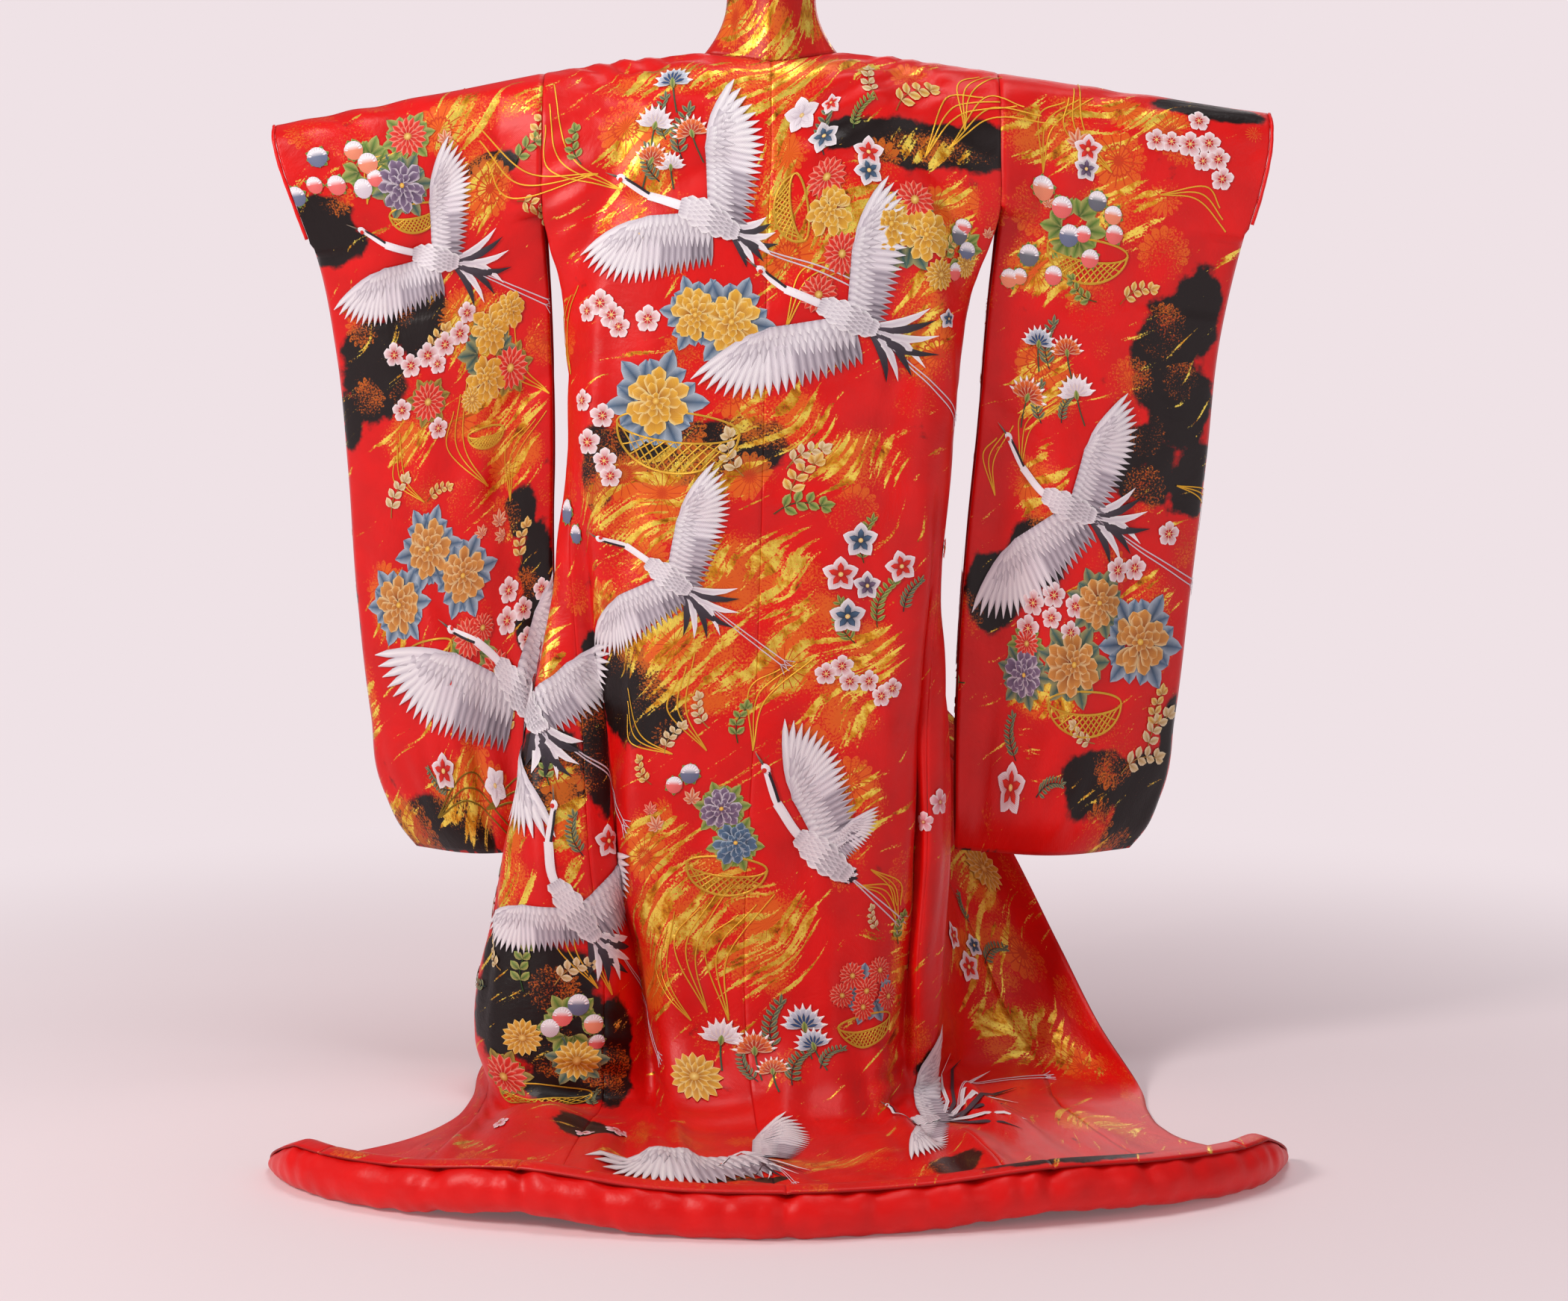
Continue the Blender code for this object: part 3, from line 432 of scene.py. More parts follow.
def front_width(t: float) -> float:
    """Width of the front panel, from the side seam, at t."""
    return FRONT_TOP_W + (FRONT_W - FRONT_TOP_W) * min(1.0, t / NECK_DROP)


def okumi_edge(t: float) -> float:
    """Where the overlap panel's cloth ends across, at t."""
    return FRONT_SEAM + OKUMI_W * min(1.0, max(0.0, (t - NECK_DROP) / (COLLAR_END - NECK_DROP)))


class Crease(NamedTuple):
    """A soft ridge (or trough, where deep is below 0) along a line of the chart."""

    u0: float
    v0: float
    u1: float
    v1: float
    deep: float
    wide: float


# Creases of the body, and of the sleeves in the same chart; deep in mm
CREASES: tuple[Crease, ...] = (
    Crease(-0.02, -0.02, -0.20, -0.10, 9, 0.020), Crease(0.02, -0.03, 0.19, -0.10, 9, 0.018),
    Crease(-0.10, -0.01, -0.26, -0.05, -7.2, 0.014), Crease(0.11, -0.01, 0.25, -0.06, -7.2, 0.014),
    Crease(-0.19, -0.14, -0.28, -0.30, -9, 0.018), Crease(0.18, -0.12, 0.28, -0.27, -10.8, 0.020),
    Crease(0.21, -0.20, 0.25, -0.46, 9, 0.020), Crease(-0.22, -0.30, -0.25, -0.55, 7.2, 0.018),
    Crease(0.05, -0.30, 0.12, -0.62, 4.5, 0.030), Crease(-0.07, -0.42, -0.10, -0.80, 5.4, 0.032),
    Crease(0.13, -0.62, 0.16, -0.98, -7.2, 0.024), Crease(-0.16, -0.66, -0.13, -1.02, -5.4, 0.024),
    Crease(0.02, -0.80, 0.05, -1.22, 5.4, 0.030), Crease(-0.07, -0.95, -0.02, -1.38, -7.2, 0.026),
    Crease(0.10, -1.00, 0.12, -1.40, 7.2, 0.022), Crease(-0.20, -0.98, -0.22, -1.36, 7.2, 0.016),
    Crease(0.27, -0.60, 0.30, -1.05, 7.2, 0.014), Crease(0.36, -0.85, 0.34, -1.25, -7.2, 0.014),
    Crease(-0.36, -0.70, -0.38, -1.20, 7.2, 0.016), Crease(-0.45, -0.80, -0.47, -1.30, -7.2, 0.016),
    Crease(0.06, -1.28, 0.02, -1.52, 9, 0.020), Crease(-0.10, -1.38, -0.12, -1.66, 9, 0.020),
    Crease(0.22, -1.30, 0.25, -1.60, -7.2, 0.018), Crease(0.45, -1.28, 0.44, -1.64, 9, 0.020),
    Crease(-0.30, -0.42, -0.44, -0.48, -5.4, 0.014), Crease(0.30, -0.45, 0.42, -0.52, -5.4, 0.014),
    Crease(0.00, -0.09, 0.24, -0.20, -8, 0.022), Crease(-0.02, -0.14, -0.25, -0.24, -8, 0.022),
    Crease(0.20, -0.34, 0.13, -0.66, -8, 0.028), Crease(-0.18, -0.50, -0.20, -0.92, -9, 0.026),
    Crease(0.00, -0.50, 0.03, -0.86, -7, 0.030), Crease(0.22, -0.70, 0.24, -1.18, 10, 0.026),
    Crease(-0.26, -0.80, -0.28, -1.26, 9, 0.022), Crease(0.14, -1.20, 0.18, -1.70, -9, 0.026),
    Crease(-0.20, -1.22, -0.24, -1.72, -9, 0.026), Crease(0.40, -0.10, 0.56, -0.30, -7, 0.024),
    Crease(-0.40, -0.10, -0.56, -0.28, -7, 0.024), Crease(0.42, -0.40, 0.47, -0.90, 7, 0.028),
    Crease(-0.42, -0.40, -0.45, -0.90, 7, 0.028), Crease(0.55, -0.45, 0.57, -0.88, -7, 0.026),
    Crease(-0.55, -0.45, -0.57, -0.88, -7, 0.026),
)


class Ruffle(NamedTuple):
    """A run of small uneven waves: their length, height in mm, way of running and place."""

    u: float
    v: float
    wide: float
    tall: float
    length: float
    high: float
    turn: float


RUFFLES: tuple[Ruffle, ...] = (
    Ruffle(-0.14, -0.05, 0.13, 0.05, 0.034, 3.7, 65), Ruffle(0.15, -0.05, 0.12, 0.05, 0.031, 3.7, 112),
    Ruffle(0.24, -0.20, 0.05, 0.12, 0.036, 3.4, 70), Ruffle(-0.25, -0.22, 0.05, 0.12, 0.040, 3.1, 115),
    Ruffle(-0.28, -1.34, 0.12, 0.07, 0.038, 4.1, 80), Ruffle(0.26, -1.36, 0.13, 0.07, 0.042, 4.1, 100),
    Ruffle(0.0, -1.40, 0.16, 0.06, 0.055, 3.4, 88), Ruffle(0.0, -1.80, 0.70, 0.05, 0.058, 4.4, 2),
    Ruffle(0.0, -0.9, 0.26, 0.5, 0.170, 2.7, 8), Ruffle(-0.52, -0.04, 0.16, 0.05, 0.050, 2.7, 60),
    Ruffle(0.52, -0.04, 0.16, 0.05, 0.047, 2.7, 118), Ruffle(-0.46, -0.60, 0.16, 0.34, 0.120, 3.7, 6),
    Ruffle(0.46, -0.60, 0.16, 0.34, 0.110, 3.7, 172), Ruffle(-0.50, -0.93, 0.14, 0.05, 0.045, 2.4, 30),
    Ruffle(0.52, -0.93, 0.14, 0.05, 0.048, 2.4, 150),
    Ruffle(-0.20, -0.03, 0.06, 0.05, 0.026, 3.4, 40), Ruffle(0.20, -0.03, 0.06, 0.05, 0.024, 3.4, 140),
    Ruffle(-0.10, -0.10, 0.07, 0.05, 0.045, 3.6, 78), Ruffle(0.12, -0.11, 0.07, 0.05, 0.041, 3.6, 104),
    Ruffle(0.0, -0.62, 0.24, 0.16, 0.085, 2.6, 58), Ruffle(0.08, -0.36, 0.18, 0.10, 0.074, 2.4, 122),
    Ruffle(-0.06, -1.12, 0.20, 0.14, 0.080, 2.8, 40), Ruffle(0.50, -0.30, 0.12, 0.14, 0.062, 2.8, 66),
    Ruffle(-0.50, -0.28, 0.12, 0.14, 0.066, 2.8, 116), Ruffle(-0.50, -0.72, 0.12, 0.14, 0.075, 3.0, 20),
    Ruffle(0.48, -0.76, 0.12, 0.14, 0.071, 3.0, 158), Ruffle(-0.40, -1.45, 0.14, 0.12, 0.050, 3.2, 70),
    Ruffle(0.46, -1.45, 0.16, 0.12, 0.054, 3.2, 110), Ruffle(0.0, -1.68, 0.60, 0.06, 0.075, 3.0, 12),
)


def seam_valley(u: np.ndarray, seams: Sequence[float]) -> np.ndarray:
    """How far the cloth draws in at the long seams, in metres."""
    deep, wide = VALLEY
    return -deep * sum((np.exp(-(((np.abs(u) - at) / wide) ** 2)) for at in seams), np.zeros_like(u))


def relief(u: np.ndarray, v: np.ndarray) -> np.ndarray:
    """How far the creases and ruffles stand out of the drape, in metres."""
    out = np.zeros_like(u)
    for c in CREASES:
        run = np.array([c.u1 - c.u0, c.v1 - c.v0])
        size = float(np.hypot(*run))
        run = run / size
        along = (u - c.u0) * run[0] + (v - c.v0) * run[1]
        off = (u - c.u0) * run[1] - (v - c.v0) * run[0]
        off = off + 0.25 * c.wide * np.sin(along * 23 + c.u0 * 40)
        fade = soft(along, -0.2 * size, 0.35 * size) * soft(-along, -1.2 * size, -0.65 * size)
        out += c.deep / 1000 * np.exp(-((off / c.wide) ** 2)) * fade
    for r in RUFFLES:
        turn = math.radians(r.turn)
        along = (u - r.u) * math.cos(turn) + (v - r.v) * math.sin(turn)
        off = -(u - r.u) * math.sin(turn) + (v - r.v) * math.cos(turn)
        here = np.exp(-(((u - r.u) / r.wide) ** 2) - ((v - r.v) / r.tall) ** 2)
        wave = np.sin(2 * math.pi * along / r.length + 2.2 * np.sin(off * 17 + r.u * 9) + r.v * 31)
        out += r.high / 1000 * here * wave * (0.6 + 0.4 * np.sin(along * 13 + off * 29))
    return out


@dataclass
class Grid:
    """A panel laid on the chart: places of its middle, its outward normals and its chart."""

    places: np.ndarray
    u: np.ndarray
    v: np.ndarray
    kept: Optional[np.ndarray] = None  # which cells are cloth
    out_hint: tuple = (0.0, -1.0, 0.0)
    hint_cell: tuple = (0, 0)
    normals: np.ndarray = field(init=False)
    seams: ClassVar[tuple] = (0.0, BACK_W, FRONT_SEAM)

    def __post_init__(self) -> None:
        """Work out the normals and stand the creases out along them."""
        self.normals = self.work_normals()
        lift = relief(self.u, self.v) * self.room() + seam_valley(self.u, self.seams)
        self.places = self.places + self.normals * lift[..., None]
        self.normals = self.work_normals()

    def room(self) -> np.ndarray:
        """1 where creases may stand, less where the cloth is sewn to the roll."""
        return 1 - soft(-self.v, 1.80, 1.86)

    def work_normals(self) -> np.ndarray:
        """Unit normals of the grid, turned to the outside."""
        down = np.gradient(self.places, axis=0)
        along = np.gradient(self.places, axis=1)
        normals = unit(np.cross(along, down))
        if float(np.dot(normals[self.hint_cell], np.array(self.out_hint))) < 0:
            normals = -normals
        return normals


class Zone(Enum):
    """A part of the chart that carries its own fields of colour and embroidery."""

    BACK = "back"
    FRONTS = "fronts"
    RIGHT_SLEEVE = "sleeve_right"
    LEFT_SLEEVE = "sleeve_left"
    RIGHT_SLEEVE_FRONT = "sleeve_right_front"
    LEFT_SLEEVE_FRONT = "sleeve_left_front"
    COLLAR = "collar"


# Clouds of black dye and fields of gold foil: centre, half width and half height in mm
BLACK: dict[Zone, tuple[tuple[float, float, float, float], ...]] = {
    Zone.LEFT_SLEEVE: (
        (-635, -180, 55, 30), (-635, -150, 45, 25), (-605, -365, 50, 70), (-520, -305, 50, 50),
        (-660, -425, 25, 40), (-550, -970, 90, 30), (-665, -980, 40, 25), (-330, -685, 30, 60),
        (-340, -775, 30, 70), (-360, -600, 25, 35), (-380, -130, 40, 15),
    ),
    Zone.BACK: (
        (-140, -530, 110, 40), (-225, -545, 30, 50), (-30, -520, 60, 35), (-190, -850, 60, 60),
        (-265, -815, 30, 40), (-145, -875, 50, 40), (-280, -920, 30, 80), (-350, -950, 60, 50),
        (-455, -1240, 40, 90), (-375, -1255, 60, 90), (-410, -1200, 60, 50), (-350, -1360, 60, 50),
        (-290, -1330, 30, 80), (-300, -1535, 40, 35), (250, -1670, 40, 28), (360, -1880, 90, 16),
        (95, -130, 30, 20), (205, -135, 110, 28), (285, -120, 40, 25), (345, -1355, 40, 30),
        (290, -1880, 50, 14), (-35, -1660, 60, 8), (520, -560, 60, 50), (-540, -610, 70, 50),
        (610, -900, 60, 60), (-620, -1010, 60, 50),
    ),
    Zone.RIGHT_SLEEVE: (
        (585, -20, 70, 20), (580, -365, 45, 90), (615, -300, 40, 60), (560, -510, 60, 50),
        (650, -525, 40, 50), (610, -425, 50, 60), (645, -950, 60, 60), (545, -925, 60, 35),
        (665, -865, 25, 50), (415, -650, 50, 40), (350, -710, 40, 50),
    ),
    Zone.COLLAR: (),
}
GOLD: dict[Zone, tuple[tuple[float, float, float, float], ...]] = {
    Zone.BACK: (
        (-5, -45, 80, 50), (10, -185, 25, 140), (100, -245, 60, 60), (-90, -560, 100, 40),
        (-160, -610, 90, 50), (-115, -770, 110, 60), (-35, -700, 110, 60), (-185, -720, 60, 60),
        (-60, -835, 90, 40), (60, -760, 70, 50), (35, -815, 60, 40), (-120, -1040, 50, 40),
        (-55, -1125, 120, 50), (30, -1135, 60, 40), (-150, -1210, 60, 60), (15, -1195, 60, 40),
        (-45, -1090, 60, 40), (45, -35, 120, 18), (-135, -60, 90, 25), (245, -230, 30, 60),
        (215, -140, 60, 20), (625, -1140, 40, 50), (585, -1225, 60, 60), (585, -1350, 80, 60),
        (605, -1600, 80, 40), (220, -1240, 20, 100), (260, -1120, 15, 80), (-415, -1020, 30, 40),
        (-425, -1095, 40, 40), (-135, -1635, 120, 20), (70, -1590, 100, 20), (-485, -1620, 60, 20),
        (15, -485, 70, 40), (120, -540, 60, 40), (110, -865, 50, 60), (140, -1000, 40, 50),
        (145, -800, 40, 50), (-350, -795, 20, 80), (-335, -1015, 30, 60), (-170, -155, 50, 60),
        (-200, -235, 40, 40), (200, -350, 40, 60), (470, -430, 70, 50), (-480, -470, 70, 60),
        (560, -800, 60, 60), (-560, -820, 70, 50), (-600, -1230, 70, 60), (640, -1000, 40, 70),
    ),
    Zone.LEFT_SLEEVE: (
        (-310, -55, 80, 20), (-415, -60, 60, 40), (-405, -150, 40, 60), (-425, -335, 60, 50),
        (-395, -465, 60, 60), (-360, -525, 40, 40), (-665, -965, 50, 30), (-495, -935, 60, 40),
        (-665, -830, 20, 60), (-560, -470, 40, 40), (-600, -700, 40, 50),
    ),
    Zone.RIGHT_SLEEVE: (
        (385, -100, 100, 40), (465, -50, 90, 18), (480, -175, 60, 40), (380, -270, 60, 40),
        (415, -570, 40, 50), (445, -830, 60, 30), (600, -700, 40, 50), (400, -420, 50, 50),
    ),
    Zone.COLLAR: (
        (0, 1020, 40, 34), (-70, 1040, 30, 26), (75, 1035, 34, 22), (150, 1020, 50, 40), (-160, 1030, 46, 40),
        (290, 1030, 80, 34), (-300, 1026, 80, 36), (460, 1034, 70, 40), (-470, 1022, 80, 30),
        (650, 1030, 90, 34), (-640, 1030, 80, 40), (850, 1028, 80, 36), (-840, 1030, 90, 34),
        (1000, 1030, 60, 30), (-1010, 1030, 60, 30),
    ),
}


def painted(patches: Iterable[tuple[float, float, float, float]], u: np.ndarray, v: np.ndarray) -> np.ndarray:
    """How strongly soft ovals cover the chart, 0 to 1.

    Args:
        patches: centre, half width and half height of each, in mm.
        u: places across, in metres.
        v: places up.

    Returns:
        The cover at each place.
    """
    out = np.zeros_like(u)
    for at_u, at_v, wide, tall in patches:
        far = np.hypot((u * 1000 - at_u) / wide, (v * 1000 - at_v) / tall)
        out = np.maximum(out, soft(1.5 - far, 0.0, 0.9))
    return out


def make_object(name: str, bm: bmesh.types.BMesh, finishes: Sequence[bpy.types.Material]) -> bpy.types.Object:
    """An object with smooth faces, its place in its mesh."""
    mesh = bpy.data.meshes.new(name)
    bm.to_mesh(mesh)
    bm.free()
    mesh.shade_smooth()
    for finish in finishes:
        mesh.materials.append(finish)
    made = bpy.data.objects.new(name, mesh)
    bpy.context.scene.collection.objects.link(made)
    return made


def add_float(mesh: bpy.types.Mesh, name: str, values: np.ndarray) -> None:
    """Give each vertex one number under a name."""
    mesh.attributes.new(name, "FLOAT", "POINT").data.foreach_set("value", np.asarray(values, np.float32))


@dataclass
class Wall:
    """A panel of cloth made a closed wall of brocade and lining from its grid.

    Attributes:
        name: name of the piece.
        grid: its places on the chart.
        fold: the row over the shoulder, where the front's own chart starts.
        fold_u: the front's chart along that row.
        weld: how near the edges that are sewn together meet.
        zone: whose fields of black and gold it carries.
        paint_u: the chart that those fields are read at, where it isn't the cloth's own.
    """

    name: str
    grid: Grid
    fold: Optional[int] = None
    fold_u: Optional[np.ndarray] = None
    weld: float = 0.0
    wall: float = WALL
    floor: bool = True
    armhole: bool = False
    zone: Zone = Zone.BACK
    paint_u: Optional[np.ndarray] = None

    def build(self, outside: bpy.types.Material, inside: bpy.types.Material) -> bpy.types.Object:
        """Make the wall.

        Args:
            outside: finish of the face of the cloth.
            inside: finish of its lining and edges.

        Returns:
            The finished object.
        """
        rows, columns = self.grid.u.shape
        bm = bmesh.new()
        bmesh.ops.create_grid(bm, x_segments=columns - 1, y_segments=rows - 1, size=0.5)
        cell = bm.verts.layers.float_vector.new("cell")
        for vert in bm.verts:
            i = round((vert.co.x + 0.5) * (columns - 1))
            j = round((vert.co.y + 0.5) * (rows - 1))
            vert[cell] = (i, j, 0)
            vert.co = self.grid.places[j, i]
        if self.grid.kept is not None:
            spare = [f for f in bm.faces if not self.grid.kept[self.cell_of(f, cell)]]
            bmesh.ops.delete(bm, geom=spare, context="FACES")
        if self.weld:
            bmesh.ops.remove_doubles(bm, verts=list(bm.verts), dist=self.weld)
        bmesh.ops.recalc_face_normals(bm, faces=list(bm.faces))
        bm.normal_update()
        probe = min(bm.verts, key=lambda v: (v[cell] - Vector((*self.grid.hint_cell[::-1], 0))).length)
        way = 1.0 if probe.normal.dot(Vector(self.grid.out_hint)) > 0 else -1.0
        outer = list(bm.verts)
        normals = [way * v.normal.copy() for v in outer]
        if self.armhole:
            for vert, normal in zip(outer, normals):
                if vert.is_boundary and vert[cell][0] < 0.5:
                    normal.x = 0.0
                    normal.normalize()
        made = bmesh.ops.extrude_face_region(bm, geom=list(bm.faces), use_keep_orig=True)
        inner = [g for g in made["geom"] if isinstance(g, bmesh.types.BMVert)]
        where = {tuple(round(c, 7) for c in v.co): n for v, n in zip(outer, normals)}
        for vert in inner:
            normal = where[tuple(round(c, 7) for c in vert.co)]
            vert[cell] = (vert[cell][0], vert[cell][1], 1)
            self.move(vert, normal, -0.5)
        for vert, normal in zip(outer, normals):
            self.move(vert, normal, 0.5)
        chart = bm.loops.layers.uv.new("chart")
        for face in bm.faces:
            layers = {round(loop.vert[cell][2]) for loop in face.loops}
            face.material_index = 0 if layers == {0} else 1
            late = self.fold is not None and sum(x.vert[cell][1] for x in face.loops) / len(face.loops) > self.fold
            for loop in face.loops:
                i, j = round(loop.vert[cell][0]), round(loop.vert[cell][1])
                u = self.fold_u[i] if late and j == self.fold else self.grid.u[j, i]
                loop[chart].uv = (u, self.grid.v[j, i])
        bmesh.ops.recalc_face_normals(bm, faces=list(bm.faces))
        spots = np.array([v[cell] for v in bm.verts])
        made = make_object(self.name, bm, (outside, inside))
        i, j = spots[:, 0].round().astype(int), spots[:, 1].round().astype(int)
        u = (self.grid.u if self.paint_u is None else self.paint_u)[j, i]
        v = self.grid.v[j, i]
        add_float(made.data, "black", painted(BLACK[self.zone], u, v))
        add_float(made.data, "gold", painted(GOLD[self.zone], u, v))
        made.data.attributes.remove(made.data.attributes["cell"])
        return made

    def cell_of(self, face: bmesh.types.BMFace, cell: Any) -> tuple[int, int]:
        """Row and column of a face."""
        corners = [v[cell] for v in face.verts]
        return int(min(c[1] for c in corners)), int(min(c[0] for c in corners))

    def move(self, vert: bmesh.types.BMVert, normal: Vector, way: float) -> None:
        """Stand a vertex off the middle of the wall, over the floor and in the CAD's frame."""
        spot = vert.co + normal * self.wall * way
        if self.floor:
            spot.z = max(spot.z, 0.0 if normal.z * way < 0 else self.wall * abs(normal.z))
        spot.z -= HELD_AT
        vert.co = spot


def steps(spans: Sequence[tuple[float, float, float]]) -> list[float]:
    """Lines from one end to the other, each span in its own even steps.

    Args:
        spans: start, end and the longest step of each span.

    Returns:
        The places of the lines.
    """
    lines = [spans[0][0]]
    for start, stop, step in spans:
        count = max(1, math.ceil(abs(stop - start) / step - 1e-6))
        lines += [start + (stop - start) * (k + 1) / count for k in range(count)]
    return lines


@dataclass
class BodyStrip:
    """A body strip: back panel, over the shoulder, and front panel, with the neck slit."""

    drape: Drape
    side: int
    cell: float = 0.0068
    front_cell: float = 0.0125

    def grid(self) -> Grid:
        """Lay the strip out, from the back hem to the front hem."""
        columns = np.array(steps([(0.0, 0.006, 0.002), (0.006, NECK_W, self.cell),
                                  (NECK_W, BACK_W - 0.006, self.cell), (BACK_W - 0.006, BACK_W, 0.002)]))
        self.neck = int(np.argmin(np.abs(columns - NECK_W)))
        back = steps([(0.0, SIDE_OPEN, self.cell), (SIDE_OPEN, 1.845, self.cell), (1.845, HEM_T, 0.004)])
        front = steps([(0.0, SIDE_OPEN, self.front_cell), (SIDE_OPEN, 1.845, self.front_cell),
                       (1.845, HEM_T, 0.004)])
        self.top = len(back) - 1
        side, places, u, v = self.side, [], [], []
        sheet = Sheet(side)
        for t in reversed(back):
            s = side * np.clip(columns, CLOSED, BACK_W - CLOSED if t > 0 else BACK_W)
            places.append(self.drape.row(s, t, Sheet.BACK))
            u.append(side * columns)
            v.append(np.full(len(columns), -t))
        for t in front[1:]:
            width = front_width(t) - CLOSED
            s = side * (BACK_W + CLOSED + (BACK_W - columns) * (width - CLOSED) / FRONT_TOP_W)
            places.append(self.drape.row(s, t, sheet))
            u.append(s)
            v.append(np.full(len(columns), -t))
        self.fold_u = side * (BACK_W + (BACK_W - columns))
        places = np.stack(places)
        kept = np.ones((places.shape[0] - 1, len(columns) - 1), bool)
        kept[self.top:, :self.neck] = False
        for j in range(self.top + 1, places.shape[0]):
            places[j, :self.neck] = places[j, self.neck] + (places[self.top, :self.neck]
                                                            - places[self.top, self.neck])
        return Grid(places, np.stack(u), np.stack(v), kept, (0.0, -1.0, 0.0), (self.top - 60, 20))

    def build(self, brocade: bpy.types.Material, lining: bpy.types.Material) -> bpy.types.Object:
        """Make the strip and stand it for its solid."""
        where = "right" if self.side > 0 else "left"
        grid = self.grid()
        made = Wall(f"brocade_body_{where}", grid, self.top, self.fold_u).build(brocade, lining)
        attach(made, "root")
        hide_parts(f"body_{where}")
        return made


@dataclass
class Overlap:
    """The okumi along a front edge."""

    drape: Drape
    side: int
    cell: float = 0.010

    def build(self, brocade: bpy.types.Material, lining: bpy.types.Material) -> bpy.types.Object:
        """Make the overlap panel."""
        where = "right" if self.side > 0 else "left"
        down = steps([(OKUMI_TOP + 0.011, 1.845, self.cell), (1.845, HEM_T, 0.004)])
        share = np.append(0.0, np.linspace(0.02, 1, 17))
        places, u, v = [], [], []
        for t in down:
            start, end = FRONT_SEAM + CLOSED, okumi_edge(t) - SEAM
            s = self.side * (start + (end - start) * share)
            places.append(self.drape.row(s, t, Sheet(self.side)))
            u.append(s)
            v.append(np.full(len(s), -t))
        probe = int(np.argmin(np.abs(np.array(down) - 0.5)))
        grid = Grid(np.stack(places), np.stack(u), np.stack(v), None, (0.0, 1.0, 0.0), (probe, 8))
        made = Wall(f"brocade_overlap_{where}", grid).build(brocade, lining)
        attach(made, "root")
        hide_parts(f"okumi_{where}")
        return made


@dataclass
class SleeveForm:
    """The middle of a sleeve's cloth; b runs over the arm from the back bottom to the front."""

    drape: Drape
    side: int

    def __post_init__(self) -> None:
        """Read the table."""
        rows = SLEEVE_RIGHT if self.side > 0 else SLEEVE_LEFT
        self.knots = np.array([row.b for row in rows])
        self.table = np.array([row[1:] for row in rows]) / 1000

    def row(self, a: np.ndarray, b: float) -> np.ndarray:
        """Places along one row; a from the armhole to the cuff."""
        outer, outer_z, inner, inner_z, mid, half = curve(self.knots, self.table, abs(b))[0]
        share = a / SLEEVE_W
        x, z = inner + (outer - inner) * share, inner_z + (outer_z - inner_z) * share
        sag = 0.012 * np.sin(math.pi * share) * min(1.0, 4 * abs(b))
        bend = 0.035 * share**2 * min(1.0, max(0.0, abs(b) - 0.2) / 0.5)
        ripple = 0.008 * np.sin(2.2 * math.pi * share + 0.6) * min(1.0, max(0.0, abs(b) - 0.15) / 0.4)
        closing = np.minimum(1.0, 4 * (1 - share)) if abs(b) > CUFF + 0.02 else np.ones_like(a)
        taper = 1.0 - 0.22 * share if abs(b) < 0.3 else 1.0
        depth = half * np.sqrt(np.maximum(closing, 0.0)) * taper
        y = mid + bend + ripple + (depth if b > 0 else -depth)
        spots = np.column_stack([self.side * x, y, z - sag * 0.5])
        if abs(b) <= ARMHOLE + 1e-9:
            join = np.maximum(0.0, 1 - a / 0.06)[:, None]
            sheet = Sheet.BACK if b <= 0 else Sheet(self.side)
            seam = self.drape.row(np.array([self.side * BACK_W]), abs(b), sheet)
            shift = np.column_stack([self.side * (a + 2 * SEAM), 0 * a, z - inner_z])
            spots = spots * (1 - join) + (seam + shift) * join
        return spots


@dataclass
class Sleeve:
    """A bag of one cloth folded over the arm, sewn at its outer edge and bottom."""

    form: SleeveForm
    cell: float = 0.0075

    def grid(self) -> Grid:
        """Lay the sleeve out."""
        side = self.form.side
        a = np.array(steps([(0.0, SLEEVE_W * 0.92, self.cell), (SLEEVE_W * 0.92, SLEEVE_W, 0.004)]))
        half = steps([(0.0, CUFF, self.cell), (CUFF, ARMHOLE, 0.0065), (ARMHOLE, 0.96, self.cell),
                      (0.96, SLEEVE_L, 0.004)])
        down = [-b for b in reversed(half)] + half[1:]
        rows = {b: self.form.row(a, b) for b in down}
        places = []
        for b in down:
            spots = rows[b].copy()
            if abs(b) == SLEEVE_L:
                spots = (rows[b] + rows[-b]) / 2
            elif abs(b) > CUFF + 0.01:
                spots[-1] = (rows[b][-1] + rows[-b][-1]) / 2
            places.append(spots)
        u = np.tile(side * (BACK_W + a), (len(down), 1))
        v = np.tile(-np.abs(np.array(down))[:, None], (1, len(a)))
        return SleeveGrid(np.stack(places), u, v, None, (0.0, -1.0, 0.0), (len(half) // 2, 20))

    def build(self, brocade: bpy.types.Material, lining: bpy.types.Material) -> bpy.types.Object:
        """Make the sleeve."""
        side = self.form.side
        where, zone = ("right", Zone.RIGHT_SLEEVE) if side > 0 else ("left", Zone.LEFT_SLEEVE)
        grid = self.grid()
        turned = grid.u.copy()
        turned[len(turned) // 2 + 1:] = side * (2 * BACK_W + SLEEVE_W) - turned[len(turned) // 2 + 1:]
        made = Wall(f"brocade_sleeve_{where}", grid, weld=1e-5, floor=False, armhole=True, zone=zone,
                    paint_u=turned).build(brocade, lining)
        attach(made, "root")
        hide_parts(f"sleeve_{where}")
        return made


class SleeveGrid(Grid):
    """A sleeve's grid, whose creases die out at its seams."""

    seams: ClassVar[tuple] = (BACK_W,)

    def room(self) -> np.ndarray:
        """1 inside the bag, 0 at the sewn edges and at the armhole."""
        a = np.abs(self.u) - BACK_W
        edge = soft(SLEEVE_W - a, 0.0, 0.03) * soft(SLEEVE_L + self.v, 0.0, 0.03)
        return edge * np.where(-self.v < ARMHOLE + 0.02, 0.25 + 0.75 * soft(a, 0.0, 0.05), 1.0)


class CollarGrid(Grid):
    """The collar's grid, which has no seam along it."""

    seams: ClassVar[tuple] = ()


